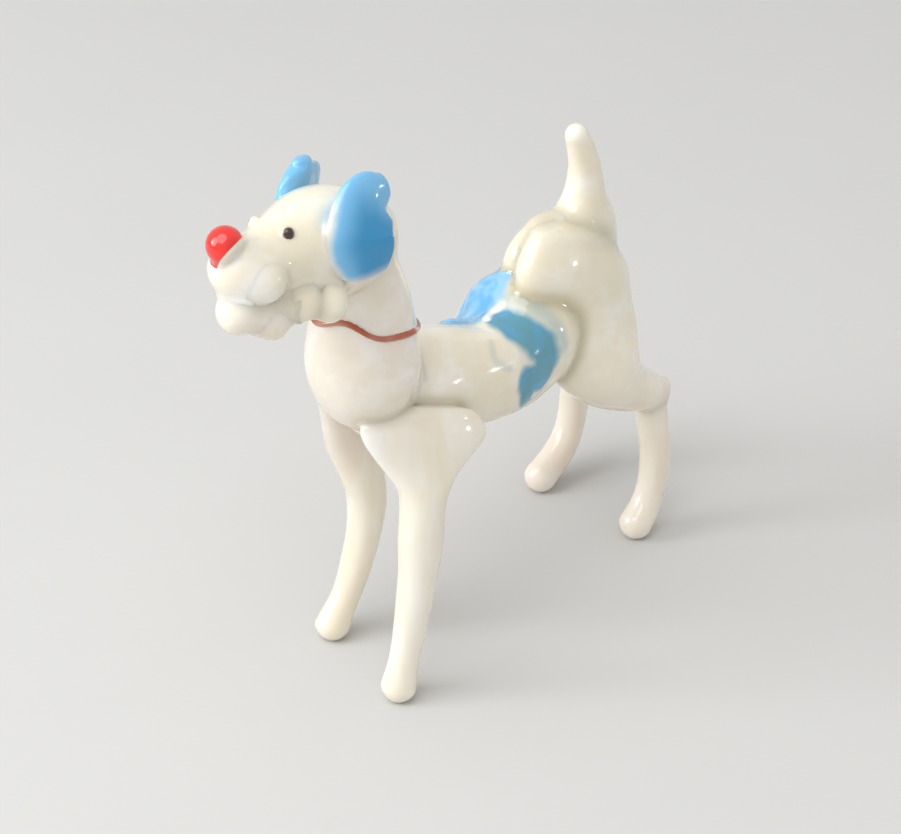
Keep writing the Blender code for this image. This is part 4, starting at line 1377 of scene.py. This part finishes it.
class TERRIER_OT_front_legs(bpy.types.Operator):
    """Add the shoulder blades and front legs"""

    bl_idname = "terrier.front_legs"
    bl_label = "Front legs"

    def execute(self, context):
        for side, _ in SIDES:
            add_opal("front_leg_" + side, DRAWN_OUT)
        return {"FINISHED"}


class TERRIER_OT_haunches(bpy.types.Operator):
    """Add the haunches"""

    bl_idname = "terrier.haunches"
    bl_label = "Haunches"

    def execute(self, context):
        for side, _ in SIDES:
            add_opal("haunch_" + side)
        return {"FINISHED"}


class TERRIER_OT_hind_legs(bpy.types.Operator):
    """Add the hind legs"""

    bl_idname = "terrier.hind_legs"
    bl_label = "Hind legs"

    def execute(self, context):
        for side, _ in SIDES:
            add_opal("hind_leg_" + side, DRAWN_OUT)
        return {"FINISHED"}


class TERRIER_OT_tail(bpy.types.Operator):
    """Add the tail"""

    bl_idname = "terrier.tail"
    bl_label = "Tail"

    def execute(self, context):
        add_opal("tail")
        return {"FINISHED"}


# Stage
CAMERA_PLACE = (0.13504, -0.16027, 0.1523)
CAMERA_TURN = (math.radians(57.43), 0.0, math.radians(40.0))
CAMERA_LENS = 128.98
CAMERA_SENSOR = 36.0
FLOOR_HALF = 1.5
WORLD_STRENGTH = 1.06
LAMP_DISTANCE = 0.40
LOOK_AT = vector(0.0, 0.0, 0.022)
DAYLIGHT = (0.94, 0.97, 1.0)
WHITE = (1.0, 1.0, 1.0)
# Lamps: degrees round from the nose to the left, degrees above the floor, size, watts and colour
LAMPS = (("window_lamp", -34, 26, 0.28, 0.66, DAYLIGHT), ("window_heart", -42, 20, 0.12, 0.20, DAYLIGHT),
         ("upper_lamp", 0, 62, 0.40, 0.88, WHITE), ("glint_lamp", 131.7, 4.8, 0.022, 0.040, WHITE))


def add_lamp(name, around, height, size, watts, colour):
    """A round lamp that faces the dog, from a place given by two turns."""
    around, height = math.radians(around), math.radians(height)
    level = math.cos(height)
    way = unit((math.sin(around) * level, -math.cos(around) * level, math.sin(height)))
    data = bpy.data.lights.new(name, "AREA")
    data.shape = "DISK"
    data.size = size
    data.energy = watts
    data.color = colour
    lamp = bpy.data.objects.new(name, data)
    lamp.location = LOOK_AT + LAMP_DISTANCE * way
    across = unit(np.cross(Z_AXIS, way))
    turn = np.stack([across, np.cross(way, across), way], axis=1)
    lamp.rotation_euler = (math.acos(turn[2, 2]), 0.0, math.atan2(turn[0, 2], -turn[1, 2]))
    bpy.context.scene.collection.objects.link(lamp)


class TERRIER_OT_stage(bpy.types.Operator):
    """Add the floor, the lamps, the world and the camera"""

    bl_idname = "terrier.stage"
    bl_label = "Studio"

    def execute(self, context):
        scene = context.scene
        colours = scene.terrier_colours
        corners = [(x * FLOOR_HALF, y * FLOOR_HALF, 0.0) for x, y in ((-1, -1), (1, -1), (1, 1), (-1, 1))]
        mesh = bpy.data.meshes.new("floor")
        mesh.from_pydata(corners, [], [(0, 1, 2, 3)])
        glass = Glass("floor_paper")
        paper = glass.mix(glass.noise(0.02), colours.floor, blend(colours.floor, BLACK, 0.03))
        glass.feed(glass.shader.inputs["Base Color"], paper)
        glass.shader.inputs["Roughness"].default_value = 0.9
        glass.shader.inputs["Specular IOR Level"].default_value = 0.1
        mesh.materials.append(glass.material)
        floor = bpy.data.objects.new("floor", mesh)
        scene.collection.objects.link(floor)

        for lamp in LAMPS:
            add_lamp(*lamp)

        world = bpy.data.worlds.new("studio")
        scene.world = world
        world.use_nodes = True
        backdrop = world.node_tree.nodes["Background"]
        backdrop.inputs["Color"].default_value = (*colours.floor, 1.0)
        backdrop.inputs["Strength"].default_value = WORLD_STRENGTH

        data = bpy.data.cameras.new("camera")
        data.lens = CAMERA_LENS
        data.sensor_width = CAMERA_SENSOR
        camera = bpy.data.objects.new("camera", data)
        camera.location = CAMERA_PLACE
        camera.rotation_euler = CAMERA_TURN
        scene.collection.objects.link(camera)
        scene.camera = camera
        scene.view_settings.view_transform = "Standard"
        return {"FINISHED"}


class TERRIER_PT_panel(bpy.types.Panel):
    """The terrier's sizes, colours and pieces"""

    bl_idname = "TERRIER_PT_panel"
    bl_label = "Glass Terrier"
    bl_space_type = "VIEW_3D"
    bl_region_type = "UI"
    bl_category = "Glass Terrier"

    def draw(self, context):
        for group in settings():
            box = self.layout.box()
            for name in group.__annotations__:
                box.prop(group, name)
        for piece in PIECES:
            self.layout.operator(piece.bl_idname)


PIECES = (
    TERRIER_OT_torso,
    TERRIER_OT_saddle,
    TERRIER_OT_neck,
    TERRIER_OT_collar,
    TERRIER_OT_head,
    TERRIER_OT_muzzle,
    TERRIER_OT_nose,
    TERRIER_OT_eyes,
    TERRIER_OT_ears,
    TERRIER_OT_front_legs,
    TERRIER_OT_haunches,
    TERRIER_OT_hind_legs,
    TERRIER_OT_tail,
    TERRIER_OT_stage,
)
CLASSES = (TerrierSizes, TerrierColours, *PIECES, TERRIER_PT_panel)


def register():
    """Register the add-on."""
    for one in CLASSES:
        bpy.utils.register_class(one)
    bpy.types.Scene.terrier_sizes = PointerProperty(type=TerrierSizes)
    bpy.types.Scene.terrier_colours = PointerProperty(type=TerrierColours)


def unregister():
    """Take the add-on out again."""
    del bpy.types.Scene.terrier_colours
    del bpy.types.Scene.terrier_sizes
    for one in reversed(CLASSES):
        bpy.utils.unregister_class(one)


def main():
    """Build every piece in order."""
    register()
    for piece in PIECES:
        group, action = piece.bl_idname.split(".")
        getattr(getattr(bpy.ops, group), action)()


if __name__ == "__main__":
    main()
